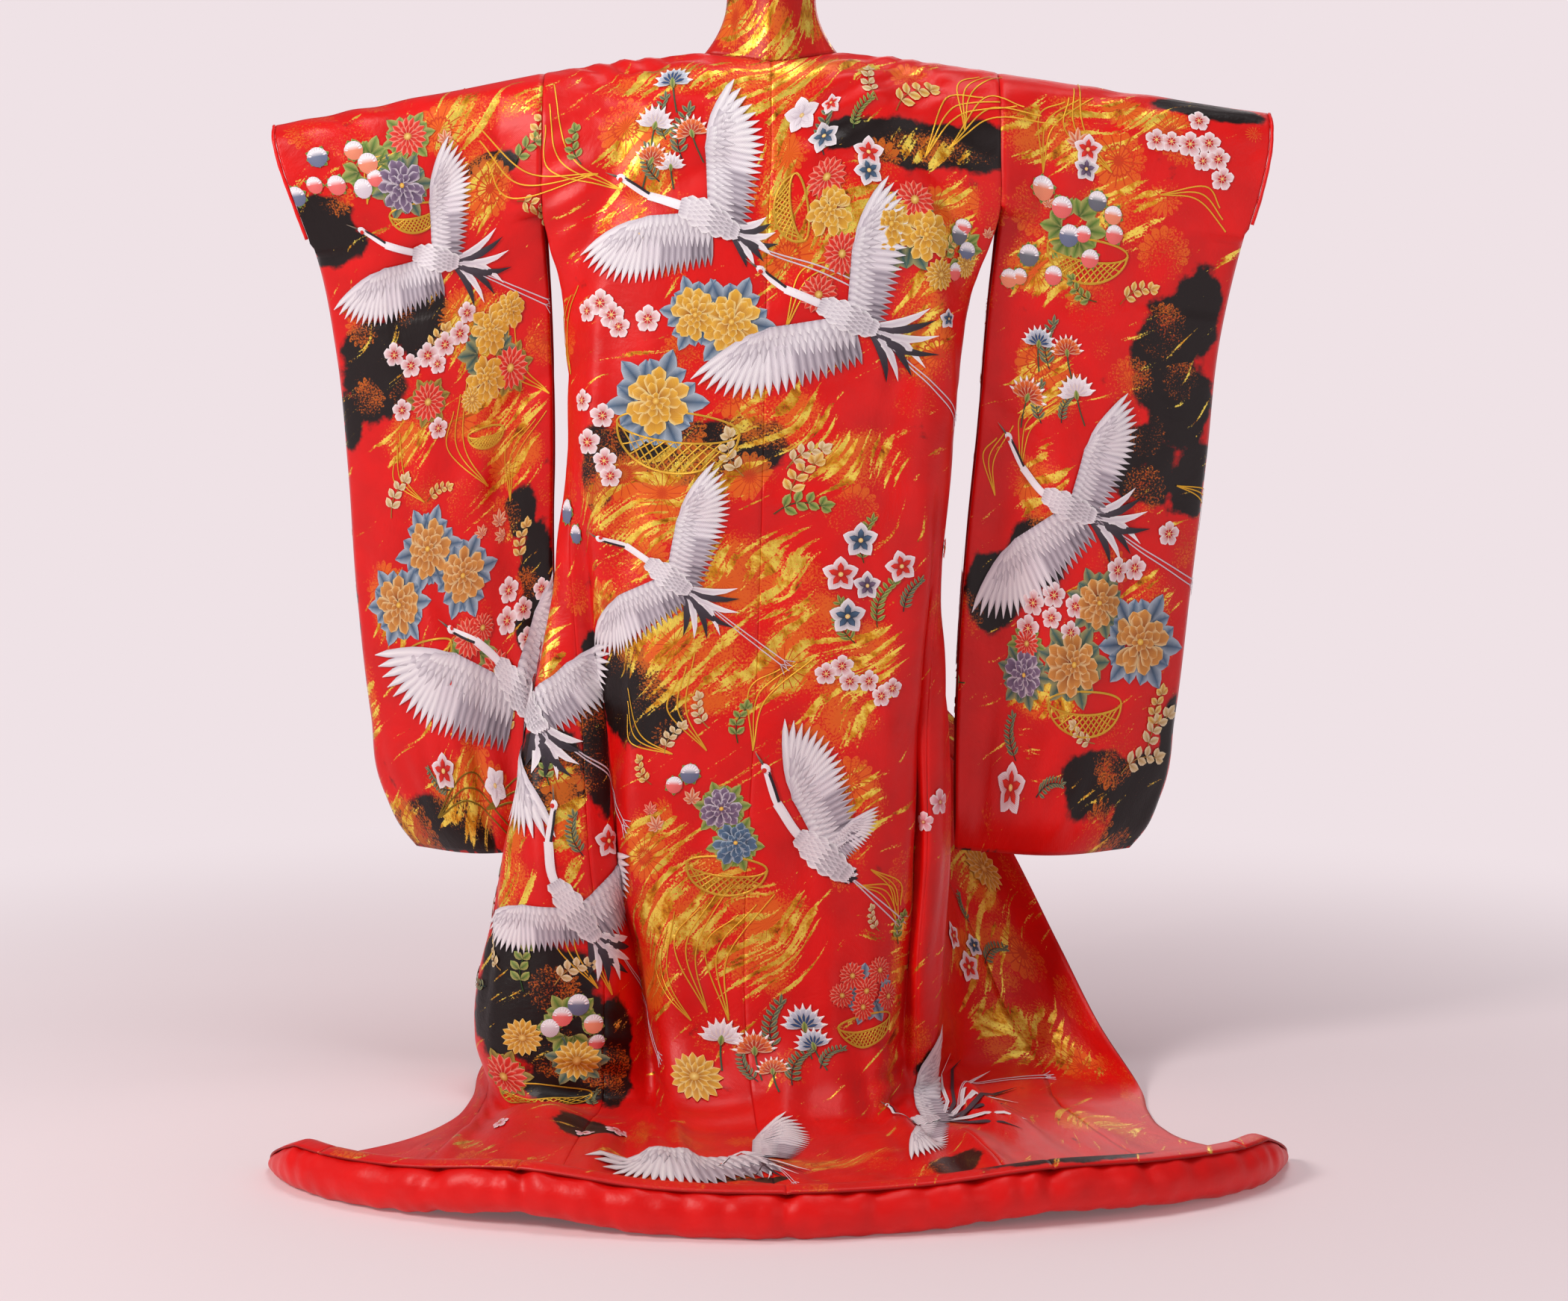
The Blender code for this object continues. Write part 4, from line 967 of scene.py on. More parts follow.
@dataclass
class Collar:
    """The band round the neck and down both front edges."""

    drape: Drape
    wall: float = 0.003

    def seam(self, along: float, side: int) -> tuple[np.ndarray, np.ndarray, np.ndarray]:
        """The seam under the collar: its place, the way in and how the panel's plane runs on."""
        turn = math.pi / 2 * (1 + min(1.0, along / 0.13))
        inward = np.array([side * math.cos(turn), math.sin(turn), 0.0])
        if along <= NECK_W:
            return self.drape.row([side * along], 0.0, Sheet.BACK)[0], inward, inward
        t = along - NECK_W
        edge = BACK_W + front_width(t) if t < NECK_DROP else okumi_edge(t)
        spot, ahead = self.drape.row([side * edge, side * (edge + 0.02)], t, Sheet(side))
        return spot, inward, unit(ahead - spot)

    def grid(self) -> Grid:
        """Lay the band out, from one front end to the other."""
        half = steps([(0.0, 0.13, 0.0055), (0.13, NECK_W + COLLAR_END, 0.011)])
        stations = [-a for a in reversed(half)] + half[1:]
        share = np.linspace(0, 1, 15)
        table = np.array([row[1:] for row in COLLAR])
        places, u, v = [], [], []
        for station in stations:
            along, side = abs(station), 1 if station >= 0 else -1
            spot, inward, plane = self.seam(along, side)
            lean, up, flat = curve([row.along for row in COLLAR], table, along)[0]
            reach = 2 * SEAM + 0.0022 + lean * (1 - (1 - share) ** 2)
            stand = inward * reach[:, None] + np.array([0, 0, up]) * share[:, None]
            lie = plane * (2 * SEAM + COLLAR_W * share)[:, None]
            places.append(spot + stand * (1 - flat) + lie * flat)
            u.append(np.full(len(share), station))
            v.append(share * COLLAR_W + 1.0)
        middle = len(stations) // 2
        return CollarGrid(np.stack(places), np.stack(u), np.stack(v), None, (0.0, -1.0, 0.0), (middle, 5))

    def build(self, gold: bpy.types.Material, lining: bpy.types.Material) -> bpy.types.Object:
        """Make the collar."""
        made = Wall("gold_brocade_collar", self.grid(), wall=self.wall, floor=False, zone=Zone.COLLAR).build(
            gold, lining)
        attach(made, "root")
        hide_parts("collar")
        return made


class Gather(NamedTuple):
    """A pinch of the hem roll at s: how deep, in mm, and how wide."""

    s: float
    deep: float
    wide: float


GATHERS: tuple[Gather, ...] = (
    Gather(-0.69, 2, 0.010), Gather(-0.62, 3, 0.012), Gather(-0.54, 2, 0.014), Gather(-0.47, 3, 0.012),
    Gather(-0.40, 6, 0.013), Gather(-0.33, 3, 0.010), Gather(-0.305, 8, 0.012), Gather(-0.25, 3, 0.014),
    Gather(-0.19, 4, 0.012), Gather(-0.12, 3, 0.014), Gather(-0.06, 2, 0.010), Gather(0.0, 7, 0.010),
    Gather(0.06, 3, 0.013), Gather(0.10, 5, 0.012), Gather(0.16, 3, 0.012), Gather(0.21, 6, 0.014),
    Gather(0.27, 3, 0.010), Gather(0.305, 8, 0.012), Gather(0.36, 3, 0.014), Gather(0.42, 5, 0.012),
    Gather(0.49, 3, 0.012), Gather(0.56, 2, 0.014), Gather(0.63, 3, 0.012), Gather(0.69, 2, 0.010),
)


def close_tube(bm: bmesh.types.BMesh, rings: Sequence[list]) -> None:
    """Bridge a tube's rings and cap both ends.

    Args:
        bm: the mesh that holds them.
        rings: the edges of each ring, in order.
    """
    for first, second in zip(rings, rings[1:]):
        bmesh.ops.bridge_loops(bm, edges=first + second)
    for edges in (rings[0], rings[-1]):
        bmesh.ops.contextual_create(bm, geom=edges)
    bmesh.ops.recalc_face_normals(bm, faces=list(bm.faces))


@dataclass
class HemRoll:
    """The padded fuki: satin rolled over wadding, pinched where it is sewn to the hem."""

    drape: Drape
    stations: int = 420
    around: int = 32

    def build(self, satin: bpy.types.Material) -> bpy.types.Object:
        """Make the roll."""
        bm = bmesh.new()
        s_of = np.linspace(-EDGE, EDGE, self.stations)
        # the tips close faster than they run, so the stations crowd there
        s_of = EDGE * np.sign(s_of) * (1 - (1 - np.abs(s_of) / EDGE) ** 1.15)
        rings = []
        chart = bm.verts.layers.float_vector.new("chart_at")
        for s in s_of:
            ring = bmesh.ops.create_circle(bm, segments=self.around, radius=1.0)["verts"]
            angles = np.degrees([math.atan2(v.co.y, v.co.x) for v in ring])
            radius = self.radius(float(s), angles)
            spots = self.drape.hem.on_roll(np.full(len(ring), s), angles, radius)
            for vert, spot, angle in zip(ring, spots, angles):
                vert.co = (spot[0], spot[1], max(spot[2], 0.0) - HELD_AT)
                vert[chart] = (s, math.radians(angle) * ROLL_R, 0)
            rings.append([e for e in {e for v in ring for e in v.link_edges}])
        close_tube(bm, rings)
        uv = bm.loops.layers.uv.new("chart")
        for face in bm.faces:
            turns = [loop.vert[chart][1] for loop in face.loops]
            for loop, at in zip(face.loops, turns):
                wrap = 2 * math.pi * ROLL_R if max(turns) - at > math.pi * ROLL_R else 0.0
                loop[uv].uv = (loop.vert[chart][0], at + wrap)
        made = make_object("satin_hem_roll", bm, (satin,))
        made.data.attributes.remove(made.data.attributes["chart_at"])
        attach(made, "root")
        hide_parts("hem_roll")
        return made

    def radius(self, s: float, angles: np.ndarray) -> np.ndarray:
        """Radius round the roll at s: pinched at the top, where it is sewn, with creases running down."""
        full = float(roll_radius(s))
        turn = np.radians(angles)
        sewn = np.maximum(0.0, np.cos(turn - math.radians(70)))
        out = np.full(len(angles), full)
        for g in GATHERS:
            lean = g.s + 0.010 * math.sin(g.s * 37) * np.cos(turn)
            pinch = np.exp(-(((s - lean) / g.wide) ** 2))
            out -= 0.95 * g.deep / 1000 * pinch * (0.35 + 0.65 * sewn) * full / ROLL_R
        wave = 0.0007 * np.sin(s * 190 + 1.7 * np.sin(s * 31)) * np.cos(2 * turn + s * 9)
        wave += 0.0006 * np.sin(s * 83 + 0.6) * np.sin(3 * turn - s * 14)
        return np.maximum(out + (wave - 0.0004) * full / ROLL_R, 0.3 * full)


@dataclass
class CuffPiping:
    """The thin red roll along a hand opening."""

    form: SleeveForm

    def build(self, satin: bpy.types.Material) -> bpy.types.Object:
        """Make the piping."""
        down = np.linspace(-CUFF, CUFF, 61)
        bm = bmesh.new()
        rings = []
        uv_at = bm.verts.layers.float_vector.new("chart_at")
        for b in down:
            near, spot = self.form.row(np.array([SLEEVE_W * 0.97, SLEEVE_W]), float(b))
            out = unit(spot - near)
            ends = [self.form.row(np.array([SLEEVE_W]), float(np.clip(b + step, -CUFF, CUFF)))[0]
                    for step in (-0.01, 0.01)]
            run = unit(ends[1] - ends[0])
            out = unit(out - run * float(np.dot(out, run)))
            cross = np.cross(run, out)
            centre = spot + out * (PIPING_R + SEAM)
            size = PIPING_R * (1 + 0.06 * math.sin(b * 300) + 0.05 * math.sin(b * 170 + 1))
            ring = bmesh.ops.create_circle(bm, segments=12, radius=1.0)["verts"]
            for vert in ring:
                x, y = vert.co.x, vert.co.y
                place = centre + (out * x + cross * y) * min(size, PIPING_R * 1.06)
                vert[uv_at] = (b, math.atan2(y, x) * PIPING_R, 0)
                vert.co = (place[0], place[1], place[2] - HELD_AT)
            rings.append([e for e in {e for v in ring for e in v.link_edges}])
        close_tube(bm, rings)
        chart = bm.loops.layers.uv.new("chart")
        for face in bm.faces:
            for loop in face.loops:
                loop[chart].uv = loop.vert[uv_at][:2]
        where = "right" if self.form.side > 0 else "left"
        made = make_object(f"satin_cuff_{where}", bm, (satin,))
        made.data.attributes.remove(made.data.attributes["chart_at"])
        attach(made, "root")
        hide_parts(f"cuff_piping_{where}")
        return made


def linear(code: str) -> tuple[float, float, float, float]:
    """An sRGB hex colour as linear light."""
    parts = [int(code[i:i + 2], 16) / 255 for i in (1, 3, 5)]
    return (*(c / 12.92 if c <= 0.04045 else ((c + 0.055) / 1.055) ** 2.4 for c in parts), 1.0)


def add(tree: bpy.types.NodeTree, kind: str, links: Optional[dict] = None, out: Any = 0,
        **settings: Any) -> bpy.types.NodeSocket:
    """Add a shader node.

    Args:
        tree: the material's tree.
        kind: the node's type, less its common first word.
        links: for each input, by name or number, the socket or the value that feeds it.
        out: name or number of the output that is wanted.
        **settings: the node's own properties.

    Returns:
        The output.
    """
    made = tree.nodes.new("ShaderNode" + kind)
    for key, value in settings.items():
        setattr(made, key, value)
    for key, value in (links or {}).items():
        if isinstance(value, bpy.types.NodeSocket):
            tree.links.new(value, made.inputs[key])
        else:
            made.inputs[key].default_value = value
    return made.outputs[out]


@dataclass(frozen=True)
class Finish:
    """A material of the real garment; each kind says how it is coloured."""

    name: str

    def make(self) -> bpy.types.Material:
        """The material with its nodes."""
        mat = bpy.data.materials.new(self.name)
        mat.use_nodes = True
        self.dress(mat.node_tree, mat.node_tree.nodes["Principled BSDF"])
        return mat

    def dress(self, tree: bpy.types.NodeTree, shader: bpy.types.Node) -> None:
        """Fill in the nodes."""
        raise NotImplementedError


@dataclass(frozen=True)
class Brocade(Finish):
    """Silk satin brocade: smooth red satin, foil yarn in torn sweeps and dust, clouds of black dye."""

    red: str = "#f20400"
    deep_red: str = "#c00200"
    black: str = "#120403"
    # foil from the hollows to the crests of its crumples: the dark brown and the bright yellow are painted shade and
    # painted highlight on the gold
    foil: tuple = ("#8a3c06", "#e09a1e", "#ffe660")
    dust: str = "#ee7a1c"

    def dress(self, tree: bpy.types.NodeTree, shader: bpy.types.Node) -> None:
        """The ground, then the black clouds, the dust with its woven flowers, and the foil."""
        uv = add(tree, "UVMap", uv_map="chart")
        mm = add(tree, "VectorMath", {0: uv, 1: (1000, 1000, 1000)}, operation="MULTIPLY")
        gold = add(tree, "Attribute", out="Fac", attribute_name="gold")
        black = add(tree, "Attribute", out="Fac", attribute_name="black")
        # foil yarn is torn every 1 mm; its grain is drawn 3 mm long so that it shows
        grain = add(tree, "TexNoise", {"Vector": mm, "Scale": 1 / 3, "Detail": 3.0, "Roughness": 0.7})
        broad = add(tree, "TexNoise", {"Vector": mm, "Scale": 1 / 60, "Detail": 3.0})
        ground = add(tree, "Mix", {0: broad, 6: linear(self.red), 7: linear(self.deep_red)}, 2, data_type="RGBA")

        # clouds of black with a smoky rim
        rim = add(tree, "TexNoise", {"Vector": mm, "Scale": 1 / 48, "Detail": 4.0, "Roughness": 0.6})
        cloud = add(tree, "Math", {0: rim, 1: 1.9, 2: black}, operation="MULTIPLY_ADD")
        cloud = add(tree, "MapRange", {0: cloud, 1: 1.22, 2: 1.56}, interpolation_type="SMOOTHSTEP")
        base = add(tree, "Mix", {0: cloud, 6: ground, 7: linear(self.black)}, 2, data_type="RGBA")

        lines, petals = self.flowers(tree, mm)
        dusty = add(tree, "Math", {0: grain, 1: 1.0, 2: add(
            tree, "Math", {0: broad, 1: 0.7, 2: add(
                tree, "Math", {0: gold, 1: 0.34, 2: add(
                    tree, "Math", {0: petals, 1: 0.24}, operation="MULTIPLY")}, operation="MULTIPLY_ADD")},
            operation="MULTIPLY_ADD")}, operation="MULTIPLY_ADD")
        dust = add(tree, "MapRange", {0: dusty, 1: 1.08, 2: 1.26}, interpolation_type="SMOOTHSTEP")
        dust = add(tree, "Math", {0: dust, 1: 0.66}, operation="MULTIPLY")
        base = add(tree, "Mix", {0: dust, 6: base, 7: linear(self.dust)}, 2, data_type="RGBA")

        # sweeps of whole foil that run up to the right, torn along their edges
        swirl = add(tree, "TexNoise", {"Vector": mm, "Scale": 1 / 190, "Detail": 1.0}, "Color")
        warped = add(tree, "VectorMath", {0: swirl, 1: (150, 150, 0), 2: mm}, operation="MULTIPLY_ADD")
        slant = add(tree, "Mapping", {"Vector": warped, "Rotation": (0, 0, math.radians(38)),
                                      "Scale": (8.0, 1.0, 1.0)}, vector_type="TEXTURE")
        streak = add(tree, "TexNoise", {"Vector": slant, "Scale": 1 / 13, "Detail": 3.0, "Roughness": 0.55})
        torn = add(tree, "Math", {0: gold, 1: 0.36, 2: add(
            tree, "Math", {0: streak, 1: 2.2, 2: add(
                tree, "Math", {0: grain, 1: 0.6}, operation="MULTIPLY")}, operation="MULTIPLY_ADD")},
            operation="MULTIPLY_ADD")
        foil = add(tree, "MapRange", {0: torn, 1: 1.74, 2: 1.82}, interpolation_type="SMOOTHSTEP")
        holes = add(tree, "MapRange", {0: grain, 1: 0.34, 2: 0.44}, interpolation_type="SMOOTHSTEP")
        foil = add(tree, "Math", {0: add(tree, "Math", {0: foil, 1: holes}, operation="MULTIPLY"), 1: add(
            tree, "Math", {0: lines, 1: -0.85, 2: 1.0}, operation="MULTIPLY_ADD")}, operation="MULTIPLY")
        # the foil's gold turns brown in the hollows of the same crumples that raise its bump and yellow on their
        # crests: painted shade and painted highlight
        crumple = add(tree, "TexNoise", {"Vector": warped, "Scale": 1 / 24, "Detail": 5.0, "Roughness": 0.62})
        tone = add(tree, "ValToRGB", {"Fac": crumple})
        ramp = tone.node.color_ramp
        ramp.elements[0].position, ramp.elements[0].color = 0.32, linear(self.foil[0])
        ramp.elements[1].position, ramp.elements[1].color = 0.56, linear(self.foil[2])
        ramp.elements.new(0.44).color = linear(self.foil[1])
        base = add(tree, "Mix", {0: foil, 6: base, 7: tone}, 2, data_type="RGBA")
        outline = add(tree, "Math", {0: lines, 1: dust}, operation="MULTIPLY")
        base = add(tree, "Mix", {0: outline, 6: base, 7: linear(self.deep_red)}, 2, data_type="RGBA")
        tree.links.new(base, shader.inputs["Base Color"])
        metal = add(tree, "Math", {0: foil, 1: 0.55, 2: add(
            tree, "Math", {0: dust, 1: 0.2}, operation="MULTIPLY")}, operation="MULTIPLY_ADD")
        tree.links.new(metal, shader.inputs["Metallic"])
        rough = add(tree, "Math", {0: foil, 1: -0.10, 2: 0.38}, operation="MULTIPLY_ADD")
        tree.links.new(rough, shader.inputs["Roughness"])
        shader.inputs["Specular IOR Level"].default_value = 0.36
        shader.inputs["Sheen Weight"].default_value = 0.03

        # twill threads are 0.1 mm apart, drawn 1.2 mm apart so that they show
        twill = add(tree, "TexWave", {"Vector": mm, "Scale": 0.26, "Distortion": 0.6}, 1,
                    bands_direction="DIAGONAL")
        height = add(tree, "Math", {0: twill, 1: 0.06, 2: add(
            tree, "Math", {0: crumple, 1: 1.3, 2: add(
                tree, "Math", {0: foil, 1: 0.15, 2: add(
                    tree, "Math", {0: dust, 1: 0.1}, operation="MULTIPLY")}, operation="MULTIPLY_ADD")},
            operation="MULTIPLY_ADD")}, operation="MULTIPLY_ADD")
        bump = add(tree, "Bump", {"Height": height, "Strength": 0.6, "Distance": 0.0016})
        tree.links.new(bump, shader.inputs["Normal"])

    def flowers(self, tree: bpy.types.NodeTree, mm: Any) -> tuple[Any, Any]:
        """Woven chrysanthemums 80 mm across, one in most cells of a loose scatter.

        Args:
            tree: the material's tree.
            mm: the chart in mm.

        Returns:
            Their outlines and the petals inside them.
        """
        cells = add(tree, "TexVoronoi", {"Vector": mm, "Scale": 1 / 84, "Randomness": 0.8}, "Position").node
        centre = add(tree, "VectorMath", {0: mm, 1: cells.outputs["Position"]}, operation="SUBTRACT")
        parts = add(tree, "SeparateXYZ", {0: centre}).node.outputs
        angle = add(tree, "Math", {0: parts[1], 1: parts[0]}, operation="ARCTAN2")
        far = add(tree, "VectorMath", {0: centre}, "Value", operation="LENGTH")
        turn = add(tree, "Math", {0: angle, 1: 8.0}, operation="MULTIPLY")
        petal = add(tree, "Math", {0: add(tree, "Math", {0: turn}, operation="SINE")}, operation="ABSOLUTE")
        edge = add(tree, "Math", {0: petal, 1: 6.0, 2: 33.0}, operation="MULTIPLY_ADD")
        inside = add(tree, "Math", {0: far, 1: edge}, operation="LESS_THAN")
        picked = add(tree, "SeparateColor", {0: cells.outputs["Color"]})
        here = add(tree, "Math", {0: inside, 1: add(
            tree, "Math", {0: picked, 1: 0.3}, operation="GREATER_THAN")}, operation="MULTIPLY")
        spoke = add(tree, "Math", {0: petal, 1: add(
            tree, "Math", {0: 6.5, 1: far}, operation="DIVIDE")}, operation="LESS_THAN")
        ring = add(tree, "Math", {0: far, 1: add(
            tree, "Math", {0: petal, 1: 4.0, 2: 17.0}, operation="MULTIPLY_ADD"), 2: 1.3}, operation="COMPARE")
        eye = add(tree, "Math", {0: far, 1: 7.0, 2: 1.2}, operation="COMPARE")
        drawn = add(tree, "Math", {0: spoke, 1: add(
            tree, "Math", {0: ring, 1: eye}, operation="MAXIMUM")}, operation="MAXIMUM")
        lines = add(tree, "Math", {0: drawn, 1: here}, operation="MULTIPLY")
        return lines, here


@dataclass(frozen=True)
class Satin(Finish):
    """Plain silk satin: a deep glossy red with a soft bloom and faint draw lines."""

    red: str = "#f80400"
    shade: str = "#d00200"
    rough: float = 0.40

    def dress(self, tree: bpy.types.NodeTree, shader: bpy.types.Node) -> None:
        """Red with slow changes of tone, fine threads and puckers."""
        uv = add(tree, "UVMap", uv_map="chart")
        mm = add(tree, "VectorMath", {0: uv, 1: (1000, 1000, 1000)}, operation="MULTIPLY")
        slow = add(tree, "TexNoise", {"Vector": mm, "Scale": 1 / 60})
        base = add(tree, "Mix", {0: slow, 6: linear(self.red), 7: linear(self.shade)}, 2, data_type="RGBA")
        tree.links.new(base, shader.inputs["Base Color"])
        shader.inputs["Roughness"].default_value = self.rough
        shader.inputs["Specular IOR Level"].default_value = 0.35
        shader.inputs["Sheen Weight"].default_value = 0.03
        # satin floats are 0.1 mm wide, drawn 0.9 mm wide so that they show
        thread = add(tree, "TexWave", {"Vector": mm, "Scale": 0.35, "Distortion": 0.3}, 1, bands_direction="Y")
        pucker = add(tree, "TexNoise", {"Vector": mm, "Scale": 1 / 12, "Detail": 3.0})
        height = add(tree, "Math", {0: thread, 1: 0.04, 2: pucker}, operation="MULTIPLY_ADD")
        bump = add(tree, "Bump", {"Height": height, "Strength": 0.45, "Distance": 0.0016})
        tree.links.new(bump, shader.inputs["Normal"])


@dataclass(frozen=True)
class Thread(Finish):
    """Floss silk and couched gold thread: each stitch keeps its colour and a fine ribbed sheen."""

    def dress(self, tree: bpy.types.NodeTree, shader: bpy.types.Node) -> None:
        """Colour from the stitches, with the threads' ribs along each shape; the ribs also dim the colour in their
        grooves and lift it on their crests as painted shade and painted highlight.
        """
        tint = add(tree, "Attribute", attribute_name="tint")
        run = add(tree, "Attribute", out="Vector", attribute_name="thread")
        slant = add(tree, "Mapping", {"Vector": run, "Rotation": (0, 0, math.radians(52))})
        # floss lies 0.3 mm apart; ribs are drawn 1.5 mm apart so that they show
        ribs = add(tree, "TexWave", {"Vector": slant, "Scale": 0.21, "Distortion": 0.8, "Detail": 1.0}, 1,
                   bands_direction="X")
        # the ribs' wave scales the thread's colour: painted shade in the grooves between threads, painted highlight on
        # their crests
        tone = add(tree, "Math", {0: ribs, 1: 0.22, 2: 0.86}, operation="MULTIPLY_ADD")
        base = add(tree, "VectorMath", {0: tint, 1: tone}, operation="MULTIPLY")
        tree.links.new(base, shader.inputs["Base Color"])
        metal = add(tree, "Math", {0: tint.node.outputs["Alpha"], 1: 0.6}, operation="MULTIPLY")
        tree.links.new(metal, shader.inputs["Metallic"])
        rough = add(tree, "Math", {0: metal, 1: -0.2, 2: 0.5}, operation="MULTIPLY_ADD")
        tree.links.new(rough, shader.inputs["Roughness"])
        shader.inputs["Specular IOR Level"].default_value = 0.35
        bump = add(tree, "Bump", {"Height": ribs, "Strength": 0.35, "Distance": 0.0005})
        tree.links.new(bump, shader.inputs["Normal"])


@dataclass(frozen=True)
class Paper(Finish):
    """Matt studio paper that glows into the pale air far from the garment, so no horizon shows."""

    near: str = "#f6e9ec"
    air: str = "#efe2e6"

    def dress(self, tree: bpy.types.NodeTree, shader: bpy.types.Node) -> None:
        """A matt pale tone with a breath of unevenness, and the air's own light past 2 m."""
        place = add(tree, "TexCoord", out="Object")
        slow = add(tree, "TexNoise", {"Vector": place, "Scale": 0.8})
        base = add(tree, "Mix", {0: slow, 6: linear(self.near), 7: linear("#f3e5e9")}, 2, data_type="RGBA")
        tree.links.new(base, shader.inputs["Base Color"])
        shader.inputs["Roughness"].default_value = 0.9
        shader.inputs["Specular IOR Level"].default_value = 0.1
        glow = add(tree, "Emission", {"Color": linear(self.air)})
        far = add(tree, "VectorMath", {0: place}, "Value", operation="LENGTH")
        share = add(tree, "MapRange", {0: far, 1: 1.2, 2: 2.8}, interpolation_type="SMOOTHSTEP")
        both = add(tree, "MixShader", {0: share, 1: shader.outputs[0], 2: glow})
        tree.links.new(both, tree.nodes["Material Output"].inputs["Surface"])


TINTS: dict[str, tuple[str, str, str]] = {
    # heart, rim and edge of each colour of silk
    "white": ("#d8ccd6", "#f6f1f6", "#ffffff"), "grey": ("#6e6672", "#a9a1ad", "#e9e3ea"),
    "black": ("#0e0a10", "#1c161e", "#2c252e"), "red": ("#b80c08", "#ee3320", "#ffc2a4"),
    "orange": ("#b83008", "#ee7426", "#fbe3c4"), "blue": ("#27497a", "#dfe8f4", "#ffffff"),
    "gold": ("#a0580c", "#efb83a", "#fff0a8"), "amber": ("#8c3a0c", "#dc9a48", "#f8e2a8"),
    "plum": ("#342440", "#84708e", "#f2ecf4"), "slate": ("#1e3248", "#527292", "#c2d2de"),
    "green": ("#234a16", "#6c9438", "#c8c070"), "teal": ("#14302f", "#3d6b66", "#b8b070"),
    "olive": ("#3a2e10", "#8a7428", "#c8b050"), "beige": ("#a87c38", "#e2c88e", "#f8ecc8"),
    "pink": ("#d86878", "#f8d4da", "#ffffff"),
}


class Outline(Enum):
    """How a stitched shape widens from its base to its tip."""

    LEAF = 0
    PETAL = 1
    FEATHER = 2
    BLADE = 3

    def width(self, x: float) -> float:
        """Share of the full half width at x, from the base (0) to the tip (1)."""
        if self is Outline.LEAF:
            return max(math.sin(math.pi * x) ** 0.8, 0.03)
        if self is Outline.PETAL:
            return max(math.sqrt(max(x, 0.0)) * (1 - x**5) ** 0.6 * 1.12, 0.10)
        if self is Outline.FEATHER:
            return max(min(1.0, 3 * x + 0.35) * (1 - x**3.2) ** 0.6, 0.05)
        return max((1 - x) ** 0.8, 0.06) * min(1.0, 0.5 + 3 * x)


@dataclass
class Ground:
    """The outer face of a zone, on an even grid of the chart."""

    places: np.ndarray
    normals: np.ndarray
    low: tuple
    step: tuple

    def drape(self, flat: np.ndarray) -> np.ndarray:
        """Lay points (u, v, height over the cloth) on the zone, in the CAD's frame."""
        rows, columns = self.places.shape[:2]
        x = np.clip((flat[:, 0] - self.low[0]) / self.step[0], 0, columns - 1.001)
        y = np.clip((flat[:, 1] - self.low[1]) / self.step[1], 0, rows - 1.001)
        i, j = x.astype(int), y.astype(int)
        a, b = (x - i)[:, None], (y - j)[:, None]

        def blend(table: np.ndarray) -> np.ndarray:
            return ((table[j, i] * (1 - a) + table[j, i + 1] * a) * (1 - b)
                    + (table[j + 1, i] * (1 - a) + table[j + 1, i + 1] * a) * b)

        out = blend(self.places) + unit(blend(self.normals)) * (WALL / 2 + flat[:, 2])[:, None]
        out[:, 2] = np.maximum(out[:, 2], 0.001) - HELD_AT
        return out


def ground_of(zone: Zone, drape: Drape) -> Ground:
    """The ground of a zone."""
    if zone is Zone.BACK or zone is Zone.FRONTS:
        s = np.linspace(-EDGE, EDGE, 295)
        t = np.linspace(0.0, 1.90, 381)
        sheet = Sheet.BACK
        rows = []
        for x in t:
            row = drape.row(s, float(x), sheet)
            if x < SIDE_OPEN and zone is Zone.FRONTS:
                row = np.where((s > 0)[:, None], drape.row(s, float(x), Sheet.RIGHT),
                               drape.row(s, float(x), Sheet.LEFT))
            rows.append(row)
        u, v = np.meshgrid(s, -t)
        if zone is Zone.FRONTS:
            half = len(s) // 2
            grid = Grid(np.stack(rows), u, v, None, (0.0, -1.0, 0.0), (200, half))
        else:
            grid = Grid(np.stack(rows), u, v, None, (0.0, -1.0, 0.0), (200, 147))
        low, step = (-EDGE, 0.0), (s[1] - s[0], -(t[1] - t[0]))
        return Ground(grid.places, grid.normals, low, step)
    side = 1 if "right" in zone.value else -1
    front = "front" in zone.value
    form = SleeveForm(drape, side)
    a, b = np.linspace(0, SLEEVE_W, 73), np.linspace(0, 0.99, 199)
    rows = [form.row(a, float(x) if front else -float(x)) for x in b]
    u, v = np.meshgrid(side * (BACK_W + a), -b)
    grid = SleeveGrid(np.stack(rows), u, v, None, (0.0, 1.0 if front else -1.0, 0.0), (60, 36))
    return Ground(grid.places, grid.normals, (side * BACK_W, 0.0), (side * (a[1] - a[0]), -(b[1] - b[0])))


